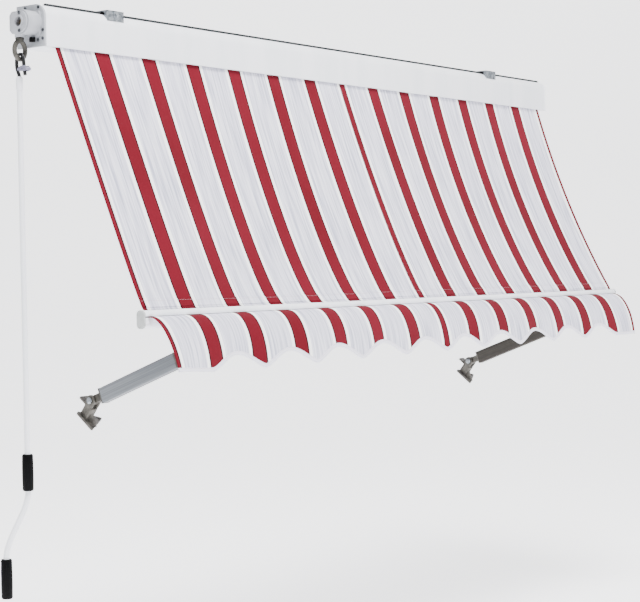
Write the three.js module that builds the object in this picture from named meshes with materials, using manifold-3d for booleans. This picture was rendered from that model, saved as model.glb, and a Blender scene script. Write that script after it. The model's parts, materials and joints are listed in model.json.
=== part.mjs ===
// A drop-arm window awning: cassette, striped cloth, front bar, two arms and a hanging crank.
// Frame: X along the wall, -Y away from it, +Z up; the origin is on the left wall clip's back.
// Dimensions along X are counted from the cassette's middle, and the whole group is then shifted.
import * as THREE from "three";
import { mergeVertices } from "three/addons/utils/BufferGeometryUtils.js";
import Module from "manifold-3d";

const wasm = await Module();
wasm.setup();

// ---- driving dimensions, millimetres ----
const GAP = 0.3;
const WALL = 2.5;

const CASSETTE = { half: 1212, back: -20, front: -115, top: 51, bottom: -51, round: 30 };
const SEAL_STRIP = { y: -85, head: 4.5, stem: 1.7, groove: 3.4, rise: 6.3, fromLeft: 25 };
const SLOT = { rear: -100, front: -108.4 };
const END = { thick: 6 };
const ROLLER = { y: -80, z: 5, radius: 20, rollRadius: 26, half: 1186 };
const CLOTH = { half: 1175.5, thick: 1.2, topY: -104.4, topZ: -46, sag: 20 };
const BAR = { half: 1184, y: -388, z: -716, depth: 24, height: 43, cap: 6, round: 11 };
const POCKET = { rod: 2.6, bore: 4, slit: 1.4 };
const VALANCE = { out: 72, drop: 138, notch: 36, pitch: 206.4, notches: 10, runs: 8 };
const ARM = { left: -1018, right: 782, pinY: -56, pinZ: -929, tilt: 20.3, length: 350 };
const TUBE = { width: 25, height: 40, wall: 2, start: 40 };
const EYE = { half: 7, radius: 12.5, pin: 5 };
const BRACKET = { hang: 38, reach: 56, plate: 7, saddle: -14.5 };
const GEAR = { x: -1246, wormY: -58, housing: 30, cover: -1263, flange: 5, screwZ: 22 };
const CRANK = { rod: 7, hookWire: 4.5, ferrule: 8.5, offset: 75 };
const GRIP = { top: -1044, end: -1134, bendEnd: -1290, length: 96, radius: 13.6, neck: 12 };
const CLIP = { left: -970, right: 850, half: 30, holeZ: 20, holeSpread: 20, over: 9, thick: 3.4 };

const GROUP = new THREE.Group();
GROUP.position.x = -CLIP.left;

// ---- finishes ----
const finish = (color, roughness, metalness) =>
  new THREE.MeshStandardMaterial({ color, roughness, metalness });
const WHITE = finish(0xf1f3f6, 0.4, 0.1);
const ALUMINIUM = finish(0xa4a8ad, 0.45, 0.8);
const CAST = finish(0xa9a59c, 0.6, 0.7);
const STEEL = finish(0x8d9296, 0.35, 0.9);
const BLACK = finish(0x17181a, 0.5, 0.1);
const CLOTH_RED = finish(0xb23a4a, 0.9, 0);
const SEAL = finish(0x4b4c52, 0.8, 0);
const BRONZE = finish(0x8f7a55, 0.5, 0.8);
const CLIP_PLASTIC = finish(0x8d8ba6, 0.6, 0);

// ---- solids ----
// A closed geometry as a manifold-3d solid, so that it can be cut and joined.
function solid(geometry) {
  const bare = geometry.index ? geometry.toNonIndexed() : geometry.clone();
  bare.deleteAttribute("normal");
  bare.deleteAttribute("uv");
  const merged = mergeVertices(bare, 1e-3);
  return new wasm.Manifold(
    new wasm.Mesh({
      numProp: 3,
      vertProperties: merged.attributes.position.array,
      triVerts: new Uint32Array(merged.index.array),
    }),
  );
}

// A manifold-3d solid as a three.js geometry.
function geometryOf(made) {
  const mesh = made.getMesh();
  const geometry = new THREE.BufferGeometry();
  geometry.setAttribute("position", new THREE.BufferAttribute(mesh.vertProperties, 3));
  geometry.setIndex(new THREE.BufferAttribute(mesh.triVerts, 1));
  const flat = geometry.toNonIndexed();
  flat.computeVertexNormals();
  return flat;
}

const join = (...parts) => parts.reduce((a, b) => a.add(b));
const cut = (body, ...tools) => tools.reduce((a, b) => a.subtract(b), body);

// Adds a named piece to a group.
function piece(name, made, material, parent = GROUP) {
  const mesh = new THREE.Mesh(geometryOf(made), material);
  mesh.name = name;
  parent.add(mesh);
  return mesh;
}

const outline = (points) => new THREE.Shape(points.map(([u, v]) => new THREE.Vector2(u, v)));

// A shape drawn in (Y, Z), extruded from x0 to x1.
function alongX(shape, x0, x1, curveSegments = 10) {
  const geometry = new THREE.ExtrudeGeometry(shape, {
    depth: x1 - x0,
    bevelEnabled: false,
    curveSegments,
  });
  const turn = new THREE.Matrix4().set(0, 0, 1, x0, 1, 0, 0, 0, 0, 1, 0, 0, 0, 0, 0, 1);
  return solid(geometry.applyMatrix4(turn));
}

// A shape drawn in (X, Y), extruded from z0 to z1.
function alongZ(shape, z0, z1, curveSegments = 10) {
  const geometry = new THREE.ExtrudeGeometry(shape, {
    depth: z1 - z0,
    bevelEnabled: false,
    curveSegments,
  });
  return solid(geometry.translate(0, 0, z0));
}

function box(x0, x1, y0, y1, z0, z1) {
  const geometry = new THREE.BoxGeometry(x1 - x0, y1 - y0, z1 - z0);
  return solid(geometry.translate((x0 + x1) / 2, (y0 + y1) / 2, (z0 + z1) / 2));
}

// A cylinder along X, Y or Z, centred at the other two coordinates.
function rod(axis, from, to, a, b, radius, sides = 24) {
  const geometry = new THREE.CylinderGeometry(radius, radius, to - from, sides);
  geometry.translate(0, (from + to) / 2, 0);
  if (axis === "x") geometry.rotateZ(-Math.PI / 2).translate(0, a, b);
  if (axis === "y") geometry.translate(a, 0, b);
  if (axis === "z") geometry.rotateX(Math.PI / 2).translate(a, b, 0);
  return solid(geometry);
}

// A body of revolution about a vertical axis; the profile lists (radius, z) from bottom to top.
function turned(x, y, profile, sides = 24) {
  const points = profile.map(([r, z]) => new THREE.Vector2(r, z));
  const geometry = new THREE.LatheGeometry(points, sides);
  return solid(geometry.rotateX(Math.PI / 2).translate(x, y, 0));
}

function circle(radius, u = 0, v = 0) {
  const shape = new THREE.Shape();
  shape.absarc(u, v, radius, 0, 2 * Math.PI);
  return shape;
}

function roundedRect(u0, u1, v0, v1, r) {
  const shape = new THREE.Shape();
  shape.moveTo(u0 + r, v0);
  shape.lineTo(u1 - r, v0);
  shape.absarc(u1 - r, v0 + r, r, -Math.PI / 2, 0);
  shape.lineTo(u1, v1 - r);
  shape.absarc(u1 - r, v1 - r, r, 0, Math.PI / 2);
  shape.lineTo(u0 + r, v1);
  shape.absarc(u0 + r, v1 - r, r, Math.PI / 2, Math.PI);
  shape.lineTo(u0, v0 + r);
  shape.absarc(u0 + r, v0 + r, r, Math.PI, 1.5 * Math.PI);
  return shape;
}

// A round rod that follows a list of points on a smooth curve.
function bentRod(points, radius, steps, sides = 12) {
  const path = new THREE.CatmullRomCurve3(points.map((p) => new THREE.Vector3(...p)));
  const shape = new THREE.Shape();
  for (let i = 0; i < sides; i++) {
    const a = (2 * Math.PI * i) / sides;
    shape[i ? "lineTo" : "moveTo"](radius * Math.cos(a), radius * Math.sin(a));
  }
  return solid(new THREE.ExtrudeGeometry(shape, { steps, extrudePath: path }));
}

// A thin sheet between x0 and x1 whose section follows (y, z) points, thick across the line.
function sheetAlongX(line, thick, x0, x1) {
  const offset = (i, side) => {
    const [y0, z0] = line[Math.max(i - 1, 0)];
    const [y1, z1] = line[Math.min(i + 1, line.length - 1)];
    const length = Math.hypot(y1 - y0, z1 - z0);
    const [y, z] = line[i];
    const shift = (side * thick) / 2 / length;
    return [y + shift * (z1 - z0), z - shift * (y1 - y0)];
  };
  const there = line.map((_, i) => offset(i, 1));
  const back = line.map((_, i) => offset(i, -1)).reverse();
  return alongX(outline([...there, ...back]), x0, x1);
}

// ---- cassette ----
// The front profile: top, round corner, face and the lip turned in at the bottom, one wall thick.
function cassetteFront() {
  const { front, top, bottom, round, half } = CASSETTE;
  const shape = new THREE.Shape();
  shape.moveTo(-46, top);
  shape.lineTo(front + round, top);
  shape.absarc(front + round, top - round, round, Math.PI / 2, Math.PI);
  shape.lineTo(front, bottom + 2);
  shape.absarc(front + 2, bottom + 2, 2, Math.PI, 1.5 * Math.PI);
  shape.lineTo(SLOT.front, bottom);
  shape.lineTo(SLOT.front, bottom + 5);
  shape.lineTo(front + WALL, bottom + 5);
  shape.lineTo(front + WALL, top - round);
  shape.absarc(front + round, top - round, round - WALL, Math.PI, Math.PI / 2, true);
  shape.lineTo(-50, top - WALL);
  shape.lineTo(-50, top - 8);
  shape.lineTo(-46, top - 8);
  const { y, stem, groove } = SEAL_STRIP;
  const side = stem + GAP;
  const floor = top - groove - GAP;
  const thickening = box(-half, half, y - side - WALL, y + side + WALL, floor - WALL, top - 1);
  const channel = box(-half - 1, half + 1, y - side, y + side, floor, top + 1);
  return cut(join(alongX(shape, -half, half, 8), thickening), channel);
}

// The rubber strip along the cassette's top: a stem in the groove and a head that stands proud.
function sealStrip() {
  const { half, top } = CASSETTE;
  const { y, head, stem, groove, rise, fromLeft } = SEAL_STRIP;
  const shape = outline([
    [y - stem, top - groove],
    [y + stem, top - groove],
    [y + stem, top + GAP],
    [y + head, top + GAP],
    [y + head, top + rise - 2.3],
    [y + head - 2, top + rise],
    [y - head + 2, top + rise],
    [y - head, top + rise - 2.3],
    [y - head, top + GAP],
    [y - stem, top + GAP],
  ]);
  return alongX(shape, -half + fromLeft, half);
}

// The back profile: back wall, floor and the short shelf that the front profile hooks over.
function cassetteBack() {
  const { back, top, bottom, half } = CASSETTE;
  const shape = outline([
    [back, bottom],
    [back, top - 3],
    [-45.7, top - 3],
    [-45.7, top - 11],
    [-48, top - 11],
    [-48, top - 13],
    [-43, top - 13],
    [-43, top - 3 - WALL],
    [back - WALL, top - 3 - WALL],
    [back - WALL, bottom + WALL],
    [SLOT.rear, bottom + WALL],
    [SLOT.rear, bottom],
  ]);
  return alongX(shape, -half, half);
}

// The outline of an end plate: the cassette's outside with its round corner.
function endOutline(grow = 0) {
  const { back, front, top, bottom, round } = CASSETTE;
  const shape = new THREE.Shape();
  shape.moveTo(back + grow, bottom - grow);
  shape.lineTo(back + grow, top + grow);
  shape.lineTo(front + round, top + grow);
  shape.absarc(front + round, top - round, round + grow, Math.PI / 2, Math.PI);
  shape.lineTo(front - grow, bottom - grow);
  return shape;
}

function endPlate(side) {
  const inner = side * (CASSETTE.half + GAP);
  const outer = side * (CASSETTE.half + GAP + END.thick);
  return alongX(endOutline(1), Math.min(inner, outer), Math.max(inner, outer), 8);
}

const END_SCREWS = [
  [-50, 45],
  [-96, 44],
  [-110.8, -13],
  [-109.5, -33],
  [-94, -36],
];

function buildCassette() {
  piece("cassette_front", cassetteFront(), WHITE);
  piece("cassette_back", cassetteBack(), WHITE);
  piece("top_seal_strip", sealStrip(), SEAL);

  const leftInner = -(CASSETTE.half + GAP);
  const leftOuter = leftInner - END.thick;
  const through = [leftOuter - 1, leftInner + 1];
  const screwHoles = END_SCREWS.map(([y, z]) => rod("x", ...through, y, z, 2.6, 12));
  const shaftHole = rod("x", ...through, ROLLER.y, ROLLER.z, 15);
  piece("left_end_plate", cut(endPlate(-1), shaftHole, ...screwHoles), WHITE);
  END_SCREWS.forEach(([y, z], i) => {
    const head = rod("x", leftOuter - GAP - 3, leftOuter - GAP, y, z, 4.2, 12);
    const shank = rod("x", leftOuter - GAP - 1, leftInner + 0.2, y, z, 2.2, 12);
    piece(`end_screw_${i + 1}`, join(head, shank), STEEL);
  });

  const rightInner = CASSETTE.half + GAP;
  const pinHole = rod("x", rightInner - 1, rightInner + END.thick + 1, ROLLER.y, ROLLER.z, 6.3);
  piece("right_end_plate", cut(endPlate(1), pinHole), WHITE);
}

// A galvanised clip: its back on the wall, its strap over the cassette's top and seal, its lip
// turned down over the round corner, and a bolt through the lip.
function buildWallClip(name, x) {
  const { back, front, top, bottom, round } = CASSETTE;
  const { half, over, thick, holeZ, holeSpread } = CLIP;
  const wall = back + GAP + 0.4;
  const lip = front + 5;
  const corner = (y) => top - round + Math.sqrt(round ** 2 - (y - front - round) ** 2) + 2 * GAP;
  const strap = alongX(
    outline([
      [0, bottom + 4],
      [0, top + over],
      [lip - thick, top + over],
      [lip - thick, corner(lip) - 5],
      [lip, corner(lip)],
      [lip + 3, corner(lip + 3)],
      [lip + 7, corner(lip + 7)],
      [lip + 7, top + over - 6],
      [lip + 14, top + over - thick + 1],
      [lip + 18, top + over - thick + 1.1],
      [wall + 4, top + over - thick + 1.1],
      [wall, top + over - 8],
      [wall, bottom + 4],
    ]),
    x - half,
    x + half,
  );
  const holes = [-holeSpread, holeSpread].map((dx) => {
    return rod("y", wall - 1, 1, x + dx, holeZ, 4.5, 16);
  });
  piece(`${name}_wall_clip`, cut(strap, ...holes), STEEL);
  const boltZ = top - 1;
  const face = lip - thick - GAP;
  const washer = rod("y", face - 2, face, x, boltZ, 9, 18);
  const head = rod("y", face - 6.5, face - 1, x, boltZ, 6.5, 6);
  piece(`${name}_clip_bolt`, join(washer, head), STEEL);
}

// ---- roller ----
function buildRoller() {
  const { y, z, radius, rollRadius, half } = ROLLER;
  const tube = cut(
    rod("x", -half, half, y, z, radius, 28),
    rod("x", -half - 1, half + 1, y, z, radius - 1.5, 28),
  );
  piece("roller_tube", tube, STEEL);
  const roll = cut(
    rod("x", -CLOTH.half, CLOTH.half, y, z, rollRadius, 28),
    rod("x", -CLOTH.half - 1, CLOTH.half + 1, y, z, radius + GAP, 28),
  );
  piece("cloth_roll", roll, CLOTH_RED);
  const plug = (from, to, flangeFrom, flangeTo) =>
    join(
      rod("x", from, to, y, z, radius - 1.5 - GAP, 20),
      rod("x", flangeFrom, flangeTo, y, z, radius, 28),
    );
  const leftPlug = join(
    plug(-half - 2, -half + 50, -half - 4, -half - GAP),
    rod("x", GEAR.x - 6, -half - 3, y, z, 8, 6),
  );
  piece("left_roller_plug", leftPlug, BLACK);
  const rightPlug = join(
    plug(half - 50, half + 2, half + GAP, half + 4),
    rod("x", half + 3, CASSETTE.half + 4, y, z, 4, 16),
  );
  piece("right_roller_plug", rightPlug, BLACK);
  const bushing = cut(
    join(
      rod("x", CASSETTE.half - 8, CASSETTE.half, y, z, 12),
      rod("x", CASSETTE.half - 1, CASSETTE.half + 5, y, z, 6),
    ),
    rod("x", CASSETTE.half - 9, CASSETTE.half + 6, y, z, 4.3, 16),
  );
  piece("idle_bushing", bushing, BLACK);
}

// ---- gearbox ----
// The housing is a short drum on the end plate with a flat-backed box that holds the worm.
function buildGearbox() {
  const { y, z } = ROLLER;
  const inner = -(CASSETTE.half + END.thick + 2 * GAP);
  const face = GEAR.cover;
  const drum = rod("x", face, inner, y, z, GEAR.housing, 32);
  const plate = roundedRect(y - 25, y + 36, z - 34, z + 30, 9);
  const flange = alongX(plate, inner - GEAR.flange, inner, 5);
  const wormBox = alongX(
    outline([
      [-80, z - 27],
      [-50, z - 27],
      [-42, z - 18],
      [-42, z + 18],
      [-50, z + 27],
      [-80, z + 27],
    ]),
    face,
    inner - 2,
  );
  const neck = rod("z", z - 34, z - 20, GEAR.x, GEAR.wormY, 12, 20);
  const wheelRoom = rod("x", face - 1, inner - 12, y, z, 17, 28);
  const shaftRoom = rod("x", face - 1, inner + 1, y, z, 10.5, 20);
  const wormRoom = rod("z", z - 40, z + 21, GEAR.x, GEAR.wormY, 7, 20);
  const screwZ = [GEAR.screwZ, -GEAR.screwZ];
  const screws = screwZ.map((dz) => rod("x", face - 1, face + 12, y - 2, z + dz, 2.2, 12));
  const housing = cut(join(drum, flange, wormBox, neck), wheelRoom, shaftRoom, wormRoom, ...screws);
  piece("gearbox_housing", housing, CAST);

  const disc = alongX(circle(27, y, z), face - GAP - 5, face - GAP, 14);
  const rim = alongX(circle(16.2, y, z), face - GAP - 8, face - GAP - 4, 12);
  const bore = rod("x", face - 20, face + 1, y, z, 12);
  const clear = screwZ.map((dz) => rod("x", face - 20, face + 1, y - 2, z + dz, 2.6, 12));
  piece("gearbox_cover", cut(join(disc, rim), bore, ...clear), CAST);
  screwZ.forEach((dz, i) => {
    const head = rod("x", face - 9, face - 5.6, y - 2, z + dz, 4, 12);
    const shank = rod("x", face - 6, face + 8, y - 2, z + dz, 1.9, 12);
    piece(`cover_screw_${i + 1}`, join(head, shank), STEEL);
  });

  const wheel = cut(
    rod("x", GEAR.x - 7, GEAR.x + 7, y, z, 14.5, 30),
    rod("x", GEAR.x - 8, GEAR.x + 8, y, z, 8.4, 6),
  );
  piece("worm_wheel", wheel, BRONZE);
  const capTop = z - 34 - GAP - 0.2;
  const cap = turned(GEAR.x + 17, -84, [[0, z - 46], [7.5, z - 46], [7.5, capTop], [0, capTop]], 18);
  piece("limit_cap", cap, BLACK);
}

// The worm and the eye below it are one shaft; the eye's ring stands parallel to the wall.
const EYE_RING = { halfWide: 17, halfTall: 22, wire: 6, z: -60 };
function buildEyeShaft() {
  const { x, wormY } = GEAR;
  const { halfWide, halfTall } = EYE_RING;
  const ringPoints = [];
  for (let i = 0; i < 28; i++) {
    const a = (2 * Math.PI * i) / 28;
    const [u, v] = [halfWide * Math.cos(a), halfTall * Math.sin(a)];
    ringPoints.push(new THREE.Vector3(x + u, wormY, EYE_RING.z + v));
  }
  const path = new THREE.CatmullRomCurve3(ringPoints, true);
  const section = new THREE.Shape();
  for (let i = 0; i < 12; i++) {
    const a = (2 * Math.PI * i) / 12;
    section[i ? "lineTo" : "moveTo"](EYE_RING.wire * Math.cos(a), EYE_RING.wire * Math.sin(a));
  }
  const ring = solid(new THREE.ExtrudeGeometry(section, { steps: 28, extrudePath: path }));
  const shaft = turned(x, wormY, [
    [0, EYE_RING.z + 18],
    [9, EYE_RING.z + 18],
    [11, -30 - GAP],
    [6, -30 - GAP],
    [6, 24],
    [0, 24],
  ]);
  piece("eye_shaft", join(ring, shaft), CAST);
}

// ---- cloth ----
// The canopy's section from the roll, through the slot and down to the bar, with its sag.
// The first run below the slot sags less, so that the cloth clears the slot's edge.
const CLOTH_END = { y: BAR.y + 1, z: BAR.z + BAR.height / 2 + 1.5 };
function canopyLine() {
  const line = [
    [ROLLER.y - ROLLER.rollRadius - GAP - 0.7, ROLLER.z],
    [-105.2, -30],
    [CLOTH.topY, CLOTH.topZ],
  ];
  const runs = 12;
  const nearSlot = 0.6;
  const dy = CLOTH_END.y - CLOTH.topY;
  const dz = CLOTH_END.z - CLOTH.topZ;
  const length = Math.hypot(dy, dz);
  for (let i = 1; i <= runs; i++) {
    const t = i / runs;
    const dip = 4 * CLOTH.sag * t * (1 - t) * (i < 2 ? nearSlot : 1);
    const y = CLOTH.topY + dy * t - (dz / length) * dip;
    const z = CLOTH.topZ + dz * t + (dy / length) * dip;
    line.push([y, z]);
  }
  line.push([CLOTH_END.y, CLOTH_END.z - 4.5]);
  return line;
}

// The valance's section: out of the bar's front slot, then round and down.
function valanceLine() {
  const { out, drop, runs } = VALANCE;
  const start = [BAR_FRONT_POCKET.y - POCKET.rod - 0.6, BAR_FRONT_POCKET.z];
  const leaves = BAR.y - BAR.depth / 2 - 1;
  const line = [start];
  for (let i = 0; i <= runs; i++) {
    const a = ((i / runs) * Math.PI) / 2;
    line.push([leaves - out * Math.sin(a), BAR_FRONT_POCKET.z - drop * (1 - Math.cos(a))]);
  }
  return line;
}

// The arched notch along the valance's lower edge, as a height above its lowest point.
function scallop(x) {
  const first = -((VALANCE.notches - 1) * VALANCE.pitch) / 2;
  const last = -first;
  if (x < first - VALANCE.pitch / 2 || x > last + VALANCE.pitch / 2) return 0;
  const wave = (1 + Math.cos((2 * Math.PI * (x - first)) / VALANCE.pitch)) / 2;
  return VALANCE.notch * Math.pow(wave, 0.7);
}

function buildCloth() {
  piece("canopy", sheetAlongX(canopyLine(), CLOTH.thick, -CLOTH.half, CLOTH.half), CLOTH_RED);
  const line = valanceLine();
  const whole = sheetAlongX(line, CLOTH.thick, -CLOTH.half, CLOTH.half);
  const lowest = Math.min(...line.map(([, z]) => z));
  const edge = [];
  const steps = 12 * VALANCE.notches + 20;
  for (let i = 0; i <= steps; i++) {
    const x = -CLOTH.half - 1 + ((2 * CLOTH.half + 2) * i) / steps;
    edge.push([x, lowest + 1 + scallop(x)]);
  }
  const floor = lowest - 30;
  const side = CLOTH.half + 1;
  const below = outline([[side, floor], ...edge.reverse(), [-side, floor]]);
  const geometry = new THREE.ExtrudeGeometry(below, { depth: 400, bevelEnabled: false });
  geometry.rotateX(Math.PI / 2).translate(0, BAR.y - BAR.depth / 2 - 30, 0);
  const trimmed = cut(whole, solid(geometry));
  piece("valance", trimmed, CLOTH_RED);
}

// ---- front bar ----
const BAR_TOP_POCKET = { y: BAR.y + 1, z: BAR.z + BAR.height / 2 - 6 };
const BAR_FRONT_POCKET = { y: BAR.y - BAR.depth / 2 + 6.5, z: BAR.z + 6 };

function barOutline(grow = 0) {
  const { y, z, depth, height, round } = BAR;
  const [y0, y1] = [y - depth / 2 - grow, y + depth / 2 + grow];
  const [z0, z1] = [z - height / 2 - grow, z + height / 2 + grow];
  return roundedRect(y0, y1, z0, z1, round);
}

function buildBar() {
  const { half, y, z, depth, height, cap } = BAR;
  const body = alongX(barOutline(), -half, half, 6);
  const top = BAR_TOP_POCKET;
  const front = BAR_FRONT_POCKET;
  const reach = half + 1;
  const { rod: radius, bore, slit } = POCKET;
  const room = roundedRect(y - depth / 2 + 3, y + depth / 2 - 3, z - height / 2 + 3, z - 3, 3);
  const profile = cut(
    body,
    rod("x", -reach, reach, top.y, top.z, bore, 16),
    box(-reach, reach, top.y - slit, top.y + slit, top.z, z + height / 2 + 1),
    rod("x", -reach, reach, front.y, front.z, bore, 16),
    box(-reach, reach, y - depth / 2 - 1, front.y, front.z - slit, front.z + slit),
    alongX(room, -reach, reach, 3),
  );
  piece("front_bar", profile, WHITE);
  piece("canopy_rod", rod("x", -half + 4, half - 4, top.y, top.z, radius, 12), BLACK);
  piece("valance_rod", rod("x", -half + 4, half - 4, front.y + 1, front.z, radius, 12), BLACK);
  for (const [name, side] of [["left", -1], ["right", 1]]) {
    const from = side * (half + GAP);
    const to = side * (half + cap);
    const plate = alongX(barOutline(0.8), Math.min(from, to), Math.max(from, to), 6);
    piece(`${name}_bar_cap`, plate, CAST);
  }
}

// ---- arms ----
const TILT = THREE.MathUtils.degToRad(ARM.tilt);
const FRONT_PIN = {
  y: ARM.pinY - ARM.length * Math.cos(TILT),
  z: ARM.pinZ + ARM.length * Math.sin(TILT),
};

// A cast eye with a plug that fits the arm tube; local +Y runs from the pin into the tube.
function armEye() {
  const { half, radius, pin } = EYE;
  const { width, height, wall, start } = TUBE;
  const neckHalf = 10;
  const barrel = rod("x", -half, half, 0, 0, radius, 28);
  const neck = box(-half, half, 0, start - 4, -neckHalf, neckHalf);
  const flange = box(-width / 2, width / 2, start - 4.5, start - GAP, -height / 2, height / 2);
  const inset = wall + GAP;
  const plug = box(
    -width / 2 + inset,
    width / 2 - inset,
    start - 1,
    start + 45,
    -height / 2 + inset,
    height / 2 - inset,
  );
  return cut(join(barrel, neck, flange, plug), rod("x", -half - 1, half + 1, 0, 0, pin + GAP, 20));
}

function buildArm(name, x) {
  const arm = new THREE.Group();
  arm.position.set(x, ARM.pinY, ARM.pinZ);
  arm.rotation.x = -TILT;
  GROUP.add(arm);
  const { width, height, wall, start } = TUBE;
  const [from, to] = [-ARM.length + start, -start];
  const section = roundedRect(-width / 2, width / 2, -height / 2, height / 2, 3);
  section.holes.push(
    roundedRect(-width / 2 + wall, width / 2 - wall, -height / 2 + wall, height / 2 - wall, 1),
  );
  const geometry = new THREE.ExtrudeGeometry(section, {
    depth: to - from,
    bevelEnabled: false,
    curveSegments: 3,
  });
  geometry.rotateX(Math.PI / 2).translate(0, to, 0);
  piece(`${name}_arm_tube`, solid(geometry), ALUMINIUM, arm);
  const rear = piece(`${name}_rear_eye`, armEye(), CAST, arm);
  rear.rotation.z = Math.PI;
  const front = piece(`${name}_front_eye`, armEye(), CAST, arm);
  front.position.y = -ARM.length;

  const halfPin = 15;
  const rearPin = join(
    rod("x", x - halfPin, x + halfPin, ARM.pinY, ARM.pinZ, EYE.pin, 20),
    rod("x", x - halfPin - 3, x - halfPin, ARM.pinY, ARM.pinZ, 8.5, 20),
  );
  piece(`${name}_rear_pin`, rearPin, STEEL);
  const frontPin = join(
    rod("x", x - halfPin, x + halfPin, FRONT_PIN.y, FRONT_PIN.z, EYE.pin, 20),
    rod("x", x - halfPin - 3, x - halfPin, FRONT_PIN.y, FRONT_PIN.z, 8.5, 20),
  );
  piece(`${name}_front_pin`, frontPin, STEEL);
}

// The hanger under the bar: a saddle and two cheeks that take the arm's front pin.
function buildHanger(name, x) {
  const bottom = BAR.z - BAR.height / 2 - GAP;
  const saddle = box(x - 14, x + 14, BAR.y - 13, BAR.y + 13, bottom - 12, bottom);
  const cheeks = [-1, 1].map((side) => {
    const [inner, outer] = [x + side * (EYE.half + GAP), x + side * 14];
    const shape = new THREE.Shape();
    shape.moveTo(BAR.y - 13, bottom - 11);
    shape.lineTo(FRONT_PIN.y - 13, FRONT_PIN.z);
    shape.absarc(FRONT_PIN.y, FRONT_PIN.z, 13, Math.PI, 2 * Math.PI);
    shape.lineTo(BAR.y + 13, bottom - 11);
    return alongX(shape, Math.min(inner, outer), Math.max(inner, outer), 8);
  });
  const bore = rod("x", x - 20, x + 20, FRONT_PIN.y, FRONT_PIN.z, EYE.pin + GAP, 20);
  piece(`${name}_bar_hanger`, cut(join(saddle, ...cheeks), bore), CAST);
}

// The wall bracket in its own frame: pin on X at the origin, base plate below, local -Y is outward.
function buildBracket(name, x) {
  const bracket = new THREE.Group();
  bracket.position.set(x, ARM.pinY, ARM.pinZ);
  bracket.rotation.x = THREE.MathUtils.degToRad(BRACKET.hang);
  GROUP.add(bracket);
  const { reach, plate, saddle } = BRACKET;
  const corners = [
    [-18, 18],
    [-18, -54],
    [46, -18],
  ];
  const base = alongZ(roundedPolygon(corners, 7), -reach, -reach + plate, 4);
  const neckCorners = [[-11, 12], [-11, -16], [13, -16], [13, 12]];
  const neck = alongZ(roundedPolygon(neckCorners, 5), -reach + plate - 1, saddle - 3, 3);
  const foot = -reach + plate - 2;
  const rib = alongX(outline([[-14, foot], [-46, foot], [-14, -30]]), -4, 4);
  const shelf = box(-13, 13, -8, 34, saddle - 5.5, saddle);
  const cheeks = [-1, 1].map((side) => {
    const [inner, outer] = [side * (EYE.half + GAP), side * 13];
    const shape = new THREE.Shape();
    shape.moveTo(14, saddle - 1);
    shape.lineTo(14, 0);
    shape.absarc(0, 0, 14, 0, Math.PI);
    shape.lineTo(-14, saddle - 1);
    return alongX(shape, Math.min(inner, outer), Math.max(inner, outer), 8);
  });
  const bore = rod("x", -20, 20, 0, 0, EYE.pin + GAP, 20);
  const screwHoles = corners.map(([u, v]) => {
    return rod("z", -reach - 1, -reach + plate + 1, 0.66 * u + 1, 0.72 * v - 5, 3, 14);
  });
  const body = join(base, neck, rib, shelf, ...cheeks);
  piece(`${name}_wall_bracket`, cut(body, bore, ...screwHoles), CAST, bracket);
}

// A polygon with each corner rounded by a quadratic curve that starts r from the corner.
function roundedPolygon(corners, r) {
  const shape = new THREE.Shape();
  corners.forEach(([u, v], i) => {
    const before = corners[(i + corners.length - 1) % corners.length];
    const after = corners[(i + 1) % corners.length];
    const toward = ([a, b]) => {
      const length = Math.hypot(a - u, b - v);
      return [u + ((a - u) * r) / length, v + ((b - v) * r) / length];
    };
    shape[i ? "lineTo" : "moveTo"](...toward(before));
    shape.quadraticCurveTo(u, v, ...toward(after));
  });
  return shape;
}

// ---- crank ----
const HOOK_AXIS = { y: GEAR.wormY, z: EYE_RING.z - EYE_RING.halfTall };
const FERRULE_TOP = -124;

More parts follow.
